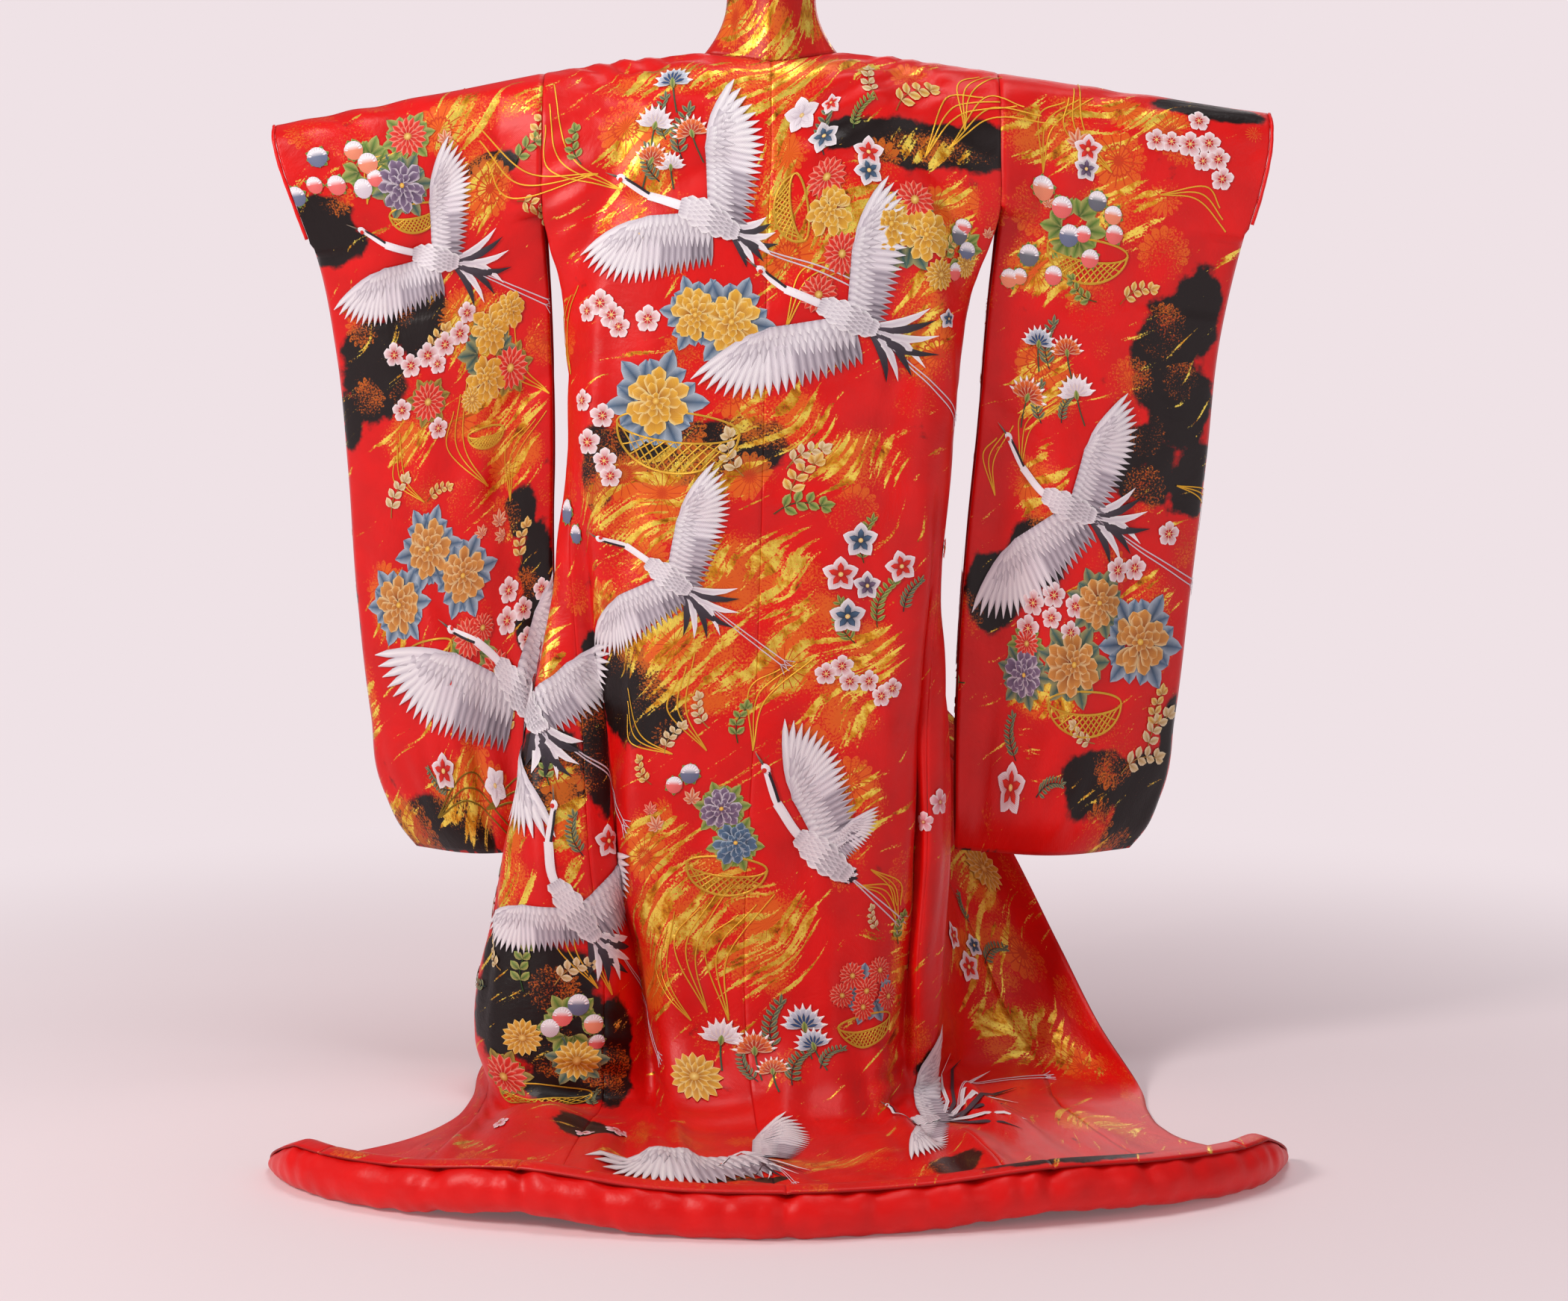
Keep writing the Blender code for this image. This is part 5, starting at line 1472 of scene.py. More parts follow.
@dataclass
class Stitcher:
    """Silk and gold thread laid on one zone; motifs are drawn in mm round a turned centre."""

    zone: Zone
    drape: Drape
    done: list = field(default_factory=list)

    def __post_init__(self) -> None:
        """Start the first motif."""
        self.rng = np.random.default_rng(sum(map(ord, self.zone.value)))
        self.start()

    def start(self) -> None:
        """A fresh mesh with the layers that hold each stitch's colour and run."""
        self.bm = bmesh.new()
        self.tint = self.bm.verts.layers.float_color.new("tint")
        self.thread = self.bm.verts.layers.float_vector.new("thread")

    def keep(self) -> None:
        """Put the motif that is drawn by for the joining."""
        mesh = bpy.data.meshes.new("motif")
        self.bm.to_mesh(mesh)
        self.bm.free()
        self.done.append(mesh)

    def at(self, u: float, v: float, turn: float) -> None:
        """Set the centre, in mm on the chart, and the turn of what is drawn next."""
        self.keep()
        self.start()
        self.centre = np.array([u, v], float)
        rad = math.radians(turn)
        self.axes = np.array([[math.cos(rad), -math.sin(rad)], [math.sin(rad), math.cos(rad)]])

    def leaf(self, base: Any, tip: Any, wide: float, colours: Sequence[str], up: float, bend: float = 0.0,
             outline: Outline = Outline.LEAF, puff: float = 0.5, cuts: int = 5, metal: float = 0.0,
             across: int = 2) -> None:
        """Stitch one leaf, petal, feather or cord.

        Args:
            base: where it starts, in mm.
            tip: where it ends.
            wide: its full width.
            colours: hex colours at its base, at its tip and along its edges.
            up: height of its edge over the cloth, in mm.
            bend: how far its middle bows to the left of its run, as a share of its length.
            outline: how it widens.
            puff: how far its middle stands over its edge, in mm.
            cuts: parts along it.
            metal: 1 for gold thread.
            across: parts across it.
        """
        base, tip = np.asarray(base, float), np.asarray(tip, float)
        run = tip - base
        size = float(np.hypot(*run)) or 1.0
        left = np.array([-run[1], run[0]]) / size
        middle = (base + tip) / 2 + left * size * bend * 2
        near, far, edge = (np.array(linear(c)) for c in colours)
        verts = bmesh.ops.create_grid(self.bm, x_segments=cuts, y_segments=across, size=1.0)["verts"]
        for vert in verts:
            x, y = (vert.co.x + 1) / 2, vert.co.y
            spot = base * (1 - x) ** 2 + middle * 2 * x * (1 - x) + tip * x * x
            way = (middle - base) * (1 - x) + (tip - middle) * x
            way = way / max(float(np.hypot(*way)), 1e-9)
            half = wide / 2 * outline.width(x)
            spot = spot + np.array([-way[1], way[0]]) * half * y
            spot = self.centre + self.axes @ spot
            rise = up + puff * (1 - y * y) * min(1.0, outline.width(x) + 0.2)
            vert.co = (spot[0] / 1000, spot[1] / 1000, rise / 1000)
            colour = near * (1 - x) + far * x
            if abs(y) > 0.75:
                colour = colour * 0.25 + edge * 0.75
            vert[self.tint] = (*colour[:3], metal)
            vert[self.thread] = (x * size, y * half, size)

    def cord(self, points: Sequence[Any], wide: float, colour: str, up: float, metal: float = 0.0) -> None:
        """A couched thread along smooth points, in mm."""
        knots = np.linspace(0, 1, len(points))
        table = np.asarray(points, float)
        size = float(np.sum(np.hypot(*np.diff(table, axis=0).T)))
        cuts = max(2, int(size / 6))
        verts = bmesh.ops.create_grid(self.bm, x_segments=cuts, y_segments=2, size=1.0)["verts"]
        x = np.array([(v.co.x + 1) / 2 for v in verts])
        y = np.array([v.co.y for v in verts])
        spots = curve(knots, table, x)
        way = unit(curve(knots, table, x + 0.01) - curve(knots, table, x - 0.01))
        spots = spots + np.column_stack([-way[:, 1], way[:, 0]]) * (wide / 2 * y)[:, None]
        spots = self.centre + spots @ self.axes.T
        tone = (*linear(colour)[:3], metal)
        for vert, spot, a, b in zip(verts, spots, x, y):
            vert.co = (spot[0] / 1000, spot[1] / 1000, (up + 0.5 * (1 - b * b)) / 1000)
            vert[self.tint] = tone
            vert[self.thread] = (a * size, b * wide, size)

    def disc(self, at: Any, radius: float, heart: str, rim: str, up: float, puff: float = 0.8,
             slant: Optional[str] = None) -> None:
        """A round knot or pompon; slant colours its lower half."""
        seen = bmesh.ops.create_grid(self.bm, x_segments=4, y_segments=4, size=1.0)["verts"]
        inner, outer = np.array(linear(heart)), np.array(linear(rim))
        low = np.array(linear(slant)) if slant else None
        for vert in seen:
            x = vert.co.x * math.sqrt(1 - vert.co.y**2 / 2)
            y = vert.co.y * math.sqrt(1 - vert.co.x**2 / 2)
            far = min(1.0, math.hypot(x, y))
            spot = self.centre + self.axes @ (np.asarray(at, float) + np.array([x, y]) * radius)
            colour = inner * (1 - far) + outer * far
            if low is not None and y < 0.15:
                colour = colour * 0.15 + low * 0.85
            vert.co = (spot[0] / 1000, spot[1] / 1000, (up + puff * (1 - far * far)) / 1000)
            vert[self.tint] = (*colour[:3], 0.0)
            vert[self.thread] = (x * radius, y * radius, radius)

    def finish(self, silk: bpy.types.Material) -> bpy.types.Object:
        """Drape the stitches on the zone and make the piece."""
        self.keep()
        whole = bmesh.new()
        for mesh in self.done:
            whole.from_mesh(mesh)
            bpy.data.meshes.remove(mesh)
        made = make_object(f"embroidery_{self.zone.value}", whole, (silk,))
        mesh = made.data
        flat = np.empty(len(mesh.vertices) * 3)
        mesh.vertices.foreach_get("co", flat)
        spots = ground_of(self.zone, self.drape).drape(flat.reshape(-1, 3))
        mesh.vertices.foreach_set("co", spots.ravel())
        mesh.update()
        if self.zone in (Zone.RIGHT_SLEEVE_FRONT, Zone.LEFT_SLEEVE_FRONT):
            mesh.flip_normals()  # seen from the front, the chart runs the other way
        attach(made, "root")
        return made


@dataclass
class Crane:
    """A flying crane. Places are in mm from its body's centre on the chart."""

    zone: Zone
    u: float
    v: float
    beak: tuple
    upper: tuple
    lower: tuple
    tail: tuple
    feet: tuple

    def stitch(self, on: Stitcher) -> None:
        """Lay it from its legs and tail up to its wings' small feathers."""
        on.at(self.u, self.v, 0)
        tail, beak = np.array(self.tail, float), np.array(self.beak, float)
        axis = unit(-tail + 0.35 * unit(beak) * np.hypot(*tail))
        size = float(np.hypot(*beak)) / 160
        side = np.array([-axis[1], axis[0]])
        chest, rump = axis * 30 * size, -axis * 26 * size
        self.legs(on, rump, size)
        self.tail_plumes(on, rump, tail, size)
        for tip, order in ((self.lower, 0.0), (self.upper, 0.5)):
            self.wing(on, axis * 10 * size, np.array(tip, float), tail, 1.6 + order)
        for j in range(10):
            spread = 6.4 * size * (0.30 + 0.70 * math.sin(math.pi * (j + 1.2) / 11.5))
            for i in (-2, -1, 0, 1, 2):
                start = rump + (chest + axis * 12 * size - rump) * (j + 0.8) / 9 + side * (i + 0.5 * (j % 2)) * spread
                tone = ("#77707c", "#e4dde6", "#ffffff") if j < 5 else ("#b9b1bd", "#faf7fb", "#ffffff")
                on.leaf(start, start - axis * 17 * size, 10.5 * size, tone, 3.4 + 0.10 * j, 0, Outline.FEATHER,
                        0.5, 3)
        self.neck(on, chest, axis, beak, size)

    def legs(self, on: Stitcher, rump: np.ndarray, size: float) -> None:
        """Two trailing legs with long toes."""
        feet = np.array(self.feet, float)
        for shift in (-1, 1):
            run = feet - rump
            left = unit(np.array([-run[1], run[0]])) * 4.0 * size * shift
            on.cord([rump, (rump + feet) / 2 + left * 0.6, feet + left], 1.7 * size, "#ddd2dc", 1.2)
            for turn in (-32, 0, 30):
                rad = math.radians(turn)
                way = unit(run)
                toe = np.array([way[0] * math.cos(rad) - way[1] * math.sin(rad),
                                way[0] * math.sin(rad) + way[1] * math.cos(rad)])
                on.cord([feet + left, feet + left + toe * 10 * size, feet + left + toe * 17 * size],
                        1.0 * size, "#ddd2dc", 1.2)

    def tail_plumes(self, on: Stitcher, rump: np.ndarray, tail: np.ndarray, size: float) -> None:
        """Black and white plumes that arch over the tail."""
        way, reach = unit(tail - rump), float(np.hypot(*(tail - rump)))
        for k, turn in enumerate((-52, -40, -27, -14, 0, 14, 27, 38)):
            rad = math.radians(turn)
            out = np.array([way[0] * math.cos(rad) - way[1] * math.sin(rad),
                            way[0] * math.sin(rad) + way[1] * math.cos(rad)])
            tone = ("#5a525e", "#120d14", "#3a333c") if k % 2 == 0 else ("#b9b0bc", "#f4eff5", "#ffffff")
            tip = rump + out * reach * (1.25 - 0.006 * abs(turn))
            on.leaf(rump - way * 10 * size, tip, 11 * size, tone, 1.5 + 0.1 * k, 0.10 * (1 if turn < 0 else -1),
                    Outline.LEAF, 0.5, 5)

    def wing(self, on: Stitcher, root: np.ndarray, tip: np.ndarray, tail: np.ndarray, up: float) -> None:
        """A wing: primaries fanned from the wrist, secondaries along the arm, then three rows over them."""
        run = tip - root
        span = float(np.hypot(*run))
        e = run / span
        n = np.array([-e[1], e[0]])
        if float(np.dot(n, tail)) < 0:
            n = -n
        wrist = root + e * 0.42 * span - n * 0.10 * span
        hand = tip - wrist
        reach = float(np.hypot(*hand))
        first = math.atan2(float(np.dot(hand, n)), float(np.dot(hand, e)))

        def way(turn: float) -> np.ndarray:
            return e * math.cos(turn) + n * math.sin(turn)

        thick = 0.072 * span
        # the grey edges of the white primaries are painted shade where one feather lies over the next
        for i in range(11):
            turn = first + math.radians(6.3 * i)
            base = wrist + hand * 0.10 * (1 - i / 10)
            long = reach * (1.0 - 0.030 * i) - reach * 0.10 * (1 - i / 10)
            on.leaf(base, base + way(turn) * long, thick * 0.86, ("#e9e2ea", "#ffffff", "#bfb7c3"),
                    up + 0.10 * (10 - i), -0.03 if np.cross(e, n) > 0 else 0.03, Outline.FEATHER, 0.55, 6)
        last = first + math.radians(63)
        for i in range(12):
            base = wrist + (root - wrist) * i / 11
            turn = last + math.radians(1.2 * i)
            long = span * (0.42 - 0.010 * i)
            if i < 3:
                # the grey edges of the first white secondaries are painted shade between overlapping feathers
                tone = ("#ded6e0", "#fdfafd", "#b3abb7")
            elif i < 8:
                tone = ("#a49ca8", "#8c8490", "#e2dbe4")
            else:
                tone = ("#7c7480", "#5a525e", "#cfc7d1")
            on.leaf(base, base + way(turn) * long, thick * 0.84, tone, up + 0.06 * (12 - i), 0, Outline.FEATHER,
                    0.5, 5)
        # the coverts' grey edges are painted shade between the overlapping feathers
        for row, (length, count, tone) in enumerate((
            (0.20, 17, ("#c4bcc8", "#fbf8fb", "#a199a5")), (0.13, 16, ("#c9c1cc", "#fdfbfd", "#a9a1ad")),
            (0.075, 15, ("#d9d2db", "#ffffff", "#bdb5c0")),
        )):
            for k in range(count):
                share = k / (count - 1)
                if share < 0.34:
                    base = wrist + hand * (0.34 - share) * 1.15 * (1 - 0.25 * row)
                    turn = first + math.radians(14 + 60 * share / 0.34)
                else:
                    base = wrist + (root - wrist) * (share - 0.34) / 0.66
                    turn = last + math.radians(10)
                on.leaf(base, base + way(turn) * length * span, thick * 0.72, tone,
                        up + 1.15 + 0.35 * row - 0.01 * k, 0, Outline.FEATHER, 0.4, 3)

    def neck(self, on: Stitcher, chest: np.ndarray, axis: np.ndarray, beak: np.ndarray, size: float) -> None:
        """A long neck with a dark throat, a small head with a red crown, and the beak."""
        way = unit(beak - chest)
        head = beak - way * 26 * size
        side = np.array([-way[1], way[0]])
        if float(np.dot(side, axis)) > 0:
            side = -side
        bow = chest + axis * 22 * size
        knots = [chest - axis * 14 * size, bow, (bow + head) / 2 - side * 6 * size, head]
        for k, (wide, tone) in enumerate(((10.5, "#f4eff5"), (7.5, "#fbf8fc"))):
            on.cord(knots[: 3 - k] if k == 0 else knots, wide * size, tone, 2.7 + 0.2 * k)
        below = side * 2.6 * size
        on.cord([knots[2] + below, (knots[2] + head) / 2 + below, head + below * 0.6], 3.2 * size, "#262028", 3.3)
        on.leaf(head - way * 7 * size, head + way * 9 * size, 10 * size, ("#f4eff5", "#ffffff", "#e6dfe8"), 3.4, 0,
                Outline.LEAF, 0.7, 4)
        on.disc(head - side * 2.5 * size, 3.0 * size, "#d01410", "#e03020", 4.1, 0.4)
        on.leaf(head + way * 6 * size, beak, 3.6 * size, ("#4c4440", "#b8a890", "#3a3230"), 3.5, 0, Outline.BLADE,
                0.5, 4)


@dataclass
class Motif:
    """One ordinary flower, leaf, basket or grass on the chart, in mm."""

    kind: str
    u: float
    v: float
    size: float
    turn: float
    tint: str

    def stitch(self, on: Stitcher) -> None:
        """Draw it with the method of its kind."""
        on.at(self.u, self.v, self.turn)
        ways: dict[str, Callable] = {
            "plum": self.plum, "pink": self.pink, "peony": self.peony, "mum": self.mum, "bell": self.bell,
            "fan": self.fan, "pompon": self.pompon, "basket": self.basket, "clover": self.clover,
            "pinnate": self.pinnate, "maple": self.maple, "leafring": self.leafring, "grass": self.grass,
        }
        ways[self.kind](on, self.size, TINTS[self.tint or "white"])

    def ring(self, on: Stitcher, count: int, inner: float, outer: float, wide: float, tone: Sequence[str],
             up: float, outline: Outline, start: float = 90.0, arc: float = 360.0, jitter: float = 0.0,
             cuts: int = 4) -> None:
        """Petals round the centre."""
        for k in range(count):
            rad = math.radians(start + arc * k / (count if arc >= 360 else count - 1))
            rad += float(on.rng.uniform(-1, 1)) * jitter
            way = np.array([math.cos(rad), math.sin(rad)])
            long = outer * (1 + float(on.rng.uniform(-0.5, 0.5)) * jitter)
            on.leaf(way * inner, way * long, wide, tone, up + 0.03 * (k % 2), 0, outline, 0.55, cuts, across=4)

    def plum(self, on: Stitcher, r: float, tone: Sequence[str]) -> None:
        """Five round petals, red at the heart, with a burst of stamens."""
        self.ring(on, 5, 0.05 * r, r, 0.98 * r, ("#c20a20", "#fdf4f6", "#ffffff"), 1.6, Outline.PETAL, cuts=5)
        on.disc((0, 0), 0.34 * r, "#d01430", "#c80c24", 2.2, 0.3)
        self.ring(on, 7, 0.1 * r, 0.62 * r, 0.07 * r, ("#ffe8b0", "#fff2c8", "#fff2c8"), 2.5, Outline.BLADE, 60, cuts=2)
        on.disc((0, 0), 0.12 * r, "#ffe090", "#f0c060", 2.7, 0.4)

    def pink(self, on: Stitcher, r: float, tone: Sequence[str]) -> None:
        """A pale pink blossom."""
        self.ring(on, 5, 0.05 * r, r, 0.9 * r, TINTS["pink"], 1.6, Outline.PETAL, cuts=5)
        on.disc((0, 0), 0.2 * r, "#f8e0a0", "#c02030", 2.3, 0.3)

    def peony(self, on: Stitcher, r: float, tone: Sequence[str]) -> None:
        """Four rings of ruffled petals round a gold heart."""
        for count, inner, outer, wide, up, start, jitter, cuts in (
                (11, 0.3, 1.0, 0.56, 2.0, 80, 0.20, 5), (9, 0.2, 0.76, 0.46, 2.5, 60, 0.24, 5),
                (7, 0.1, 0.52, 0.38, 3.0, 85, 0.28, 4), (6, 0.0, 0.30, 0.26, 3.4, 70, 0.30, 4)):
            self.ring(on, count, inner * r, outer * r, wide * r, tone, up, Outline.PETAL, start,
                      jitter=jitter, cuts=cuts)
        on.disc((0, 0), 0.10 * r, "#ffe27a", "#d89a20", 3.9, 0.4)

    def mum(self, on: Stitcher, r: float, tone: Sequence[str]) -> None:
        """A chrysanthemum of narrow petals in two rings."""
        self.ring(on, 16, 0.25 * r, r, 0.36 * r, tone, 1.8, Outline.PETAL, cuts=4)
        self.ring(on, 12, 0.1 * r, 0.62 * r, 0.28 * r, tone, 2.3, Outline.PETAL, 82, cuts=3)
        on.disc((0, 0), 0.20 * r, "#ffe58a", "#c8881c", 2.8, 0.5)

    def bell(self, on: Stitcher, r: float, tone: Sequence[str]) -> None:
        """A bellflower: five pointed petals with pale rims."""
        heart, rim, _ = tone
        self.ring(on, 5, -0.12 * r, r, 0.82 * r, (heart, "#fbf6fa", "#fffafd"), 1.8, Outline.LEAF, cuts=6)
        self.ring(on, 5, 0.0, 0.66 * r, 0.36 * r, (heart, rim, heart), 2.4, Outline.LEAF, cuts=3)
        on.disc((0, 0), 0.13 * r, "#fff0b0", "#e8b860", 2.8, 0.4)

    def fan(self, on: Stitcher, r: float, tone: Sequence[str]) -> None:
        """A pink: a fan of fringed petals on a cup and stem."""
        heart = tone[0]
        on.cord([(0, -0.1 * r), (0.05 * r, -0.7 * r), (0.2 * r, -1.5 * r)], 2.0, "#31563a", 1.0)
        self.ring(on, 9, 0.1 * r, r, 0.40 * r, tone, 1.8, Outline.PETAL, 8, 164, cuts=4)
        self.ring(on, 7, 0.1 * r, 0.66 * r, 0.26 * r, (heart, heart, "#f8e8c0"), 2.2, Outline.PETAL, 14, 152, cuts=3)
        self.ring(on, 9, 0.78 * r, 1.12 * r, 0.17 * r, ("#ffffff", "#ffffff", "#ffffff"), 2.1, Outline.PETAL, 8, 164,
                  cuts=2)
        on.leaf((0, -0.25 * r), (0, 0.3 * r), 0.3 * r, TINTS["green"], 2.6, 0, Outline.LEAF, 0.6, 4)

    def pompon(self, on: Stitcher, r: float, tone: Sequence[str]) -> None:
        """A small round bloom with a white cap."""
        heart, rim, _ = tone
        self.ring(on, 9, 0.5 * r, 1.08 * r, 0.5 * r, TINTS["green"], 1.2, Outline.LEAF, 20, jitter=0.2, cuts=3)
        on.disc((0, 0), r * 0.92, "#ffffff", "#efe9f2", 1.9, 1.6, slant=rim if self.tint in ("red", "orange")
                else heart)
        self.ring(on, 9, 0.35 * r, 0.92 * r, 0.16 * r, ("#ffffff", "#fdf8ff", "#ffffff"), 2.6, Outline.LEAF, 10, 160,
                  cuts=2)

    def basket(self, on: Stitcher, r: float, tone: Sequence[str]) -> None:
        """A shallow flower basket of gold lattice."""
        gold = "#dcae3c"
        rim = [(r * math.cos(a), 0.24 * r * math.sin(a)) for a in np.linspace(0, 2 * math.pi, 17)]
        on.cord(rim, 2.6, gold, 1.4, 1.0)
        bowl = [(r * math.cos(a), 0.72 * r * math.sin(a)) for a in np.linspace(math.pi, 2 * math.pi, 13)]
        on.cord(bowl, 3.0, gold, 1.4, 1.0)
        for k in range(-6, 7):
            for lean in (-1, 1):
                top = np.array([0.15 * r * k, -0.24 * r * math.sqrt(max(0.0, 1 - (0.15 * k) ** 2))])
                x = 0.15 * r * k + lean * 0.42 * r
                if abs(x) < 0.97 * r:
                    low = np.array([x, -0.72 * r * math.sqrt(1 - (x / r) ** 2)])
                    on.cord([top, (top + low) / 2 + (lean * 0.03 * r, -0.02 * r), low], 2.0, gold, 1.2, 1.0)

    def spray(self, on: Stitcher, r: float, tone: Sequence[str], pairs: int, long: float, wide: float) -> None:
        """A bowed stem with pairs of leaves and one at its tip."""
        stem = [np.array([x * r, 0.16 * r * math.sin(math.pi * x)]) for x in np.linspace(0, 1, pairs + 1)]
        on.cord(stem, 1.5, tone[0], 1.0)
        for k, spot in enumerate(stem[1:], 1):
            for lean in (-1, 1):
                rad = math.radians(lean * 48 + 10)
                tip = spot + np.array([math.cos(rad), math.sin(rad)]) * long * (1.1 - 0.3 * k / pairs)
                on.leaf(spot, tip, wide, tone, 1.4, 0.05 * lean, Outline.LEAF, 0.5, 4)
        on.leaf(stem[-1], stem[-1] + (long, 0), wide, tone, 1.5, 0, Outline.LEAF, 0.5, 4)

    def clover(self, on: Stitcher, r: float, tone: Sequence[str]) -> None:
        """Bush clover with oval leaves."""
        self.spray(on, r, tone, 4, 0.30 * r, 0.19 * r)

    def pinnate(self, on: Stitcher, r: float, tone: Sequence[str]) -> None:
        """A stem of many narrow leaves."""
        self.spray(on, r, tone, 8, 0.24 * r, 0.085 * r)

    def maple(self, on: Stitcher, r: float, tone: Sequence[str]) -> None:
        """A maple leaf of seven points."""
        for turn, long in ((90, 1.0), (50, 0.9), (130, 0.9), (12, 0.7), (168, 0.7), (-30, 0.42), (210, 0.42)):
            rad = math.radians(turn)
            on.leaf((0, 0), (r * long * math.cos(rad), r * long * math.sin(rad)), 0.34 * r, tone, 1.3, 0, Outline.LEAF,
                    0.4, 4)

    def leafring(self, on: Stitcher, r: float, tone: Sequence[str]) -> None:
        """Pointed three-lobed leaves that show round a flower."""
        for k in range(6):
            turn = math.radians(360 * k / 6 + float(on.rng.uniform(-14, 14)))
            for lobe, long in ((0, 1.0), (-27, 0.80), (27, 0.80)):
                rad = turn + math.radians(lobe)
                near = np.array([math.cos(turn), math.sin(turn)]) * 0.35 * r
                tip = np.array([math.cos(rad), math.sin(rad)]) * r * long
                on.leaf(near, tip, 0.36 * r, tone, 1.0 + 0.1 * (lobe == 0), 0, Outline.LEAF, 0.5, 5)

    def grass(self, on: Stitcher, r: float, tone: Sequence[str]) -> None:
        """Long blades and an arching gold stalk."""
        for k, lean in enumerate((0.20, 0.30, 0.42)):
            tip = (r * (1 - 0.12 * k), r * 0.10 * k)
            on.cord([(0, 0), (0.45 * r, lean * r * 0.8), tip], 1.7, tone[1], 0.9, 1.0)


CRANES: tuple[Crane, ...] = (
    Crane(Zone.LEFT_SLEEVE, -475, -230, (-128, 65), (40, 150), (-180, -40), (95, -30), (165, -95)),
    Crane(Zone.BACK, -75, -235, (-146, 66), (26, 188), (-185, -36), (76, -16), (192, -76)),
    Crane(Zone.BACK, 110, -350, (-140, 76), (46, 166), (-208, -80), (100, -40), (158, -130)),
    Crane(Zone.BACK, -115, -695, (-118, 60), (52, 154), (-142, -96), (70, -54), (146, -110)),
    Crane(Zone.LEFT_SLEEVE, -375, -835, (-140, 112), (-262, 76), (130, 170), (60, -80), (120, -160)),
    Crane(Zone.BACK, -385, -870, (-130, 120), (-230, 60), (170, 84), (52, -76), (206, -146)),
    Crane(Zone.BACK, -330, -1135, (-20, 166), (-152, -20), (170, 76), (54, -70), (196, -180)),
    Crane(Zone.BACK, 105, -1060, (-102, 140), (-68, 182), (64, 66), (38, -24), (104, -82)),
    Crane(Zone.RIGHT_SLEEVE, 462, -580, (-130, 94), (66, 164), (-142, -166), (104, -14), (200, -82)),
    Crane(Zone.BACK, -15, -1565, (-50, -50), (52, 162), (-262, -110), (26, -80), (40, -110)),
    Crane(Zone.BACK, 275, -1480, (-100, 100), (92, 190), (-92, -160), (210, 8), (296, 50)),
)

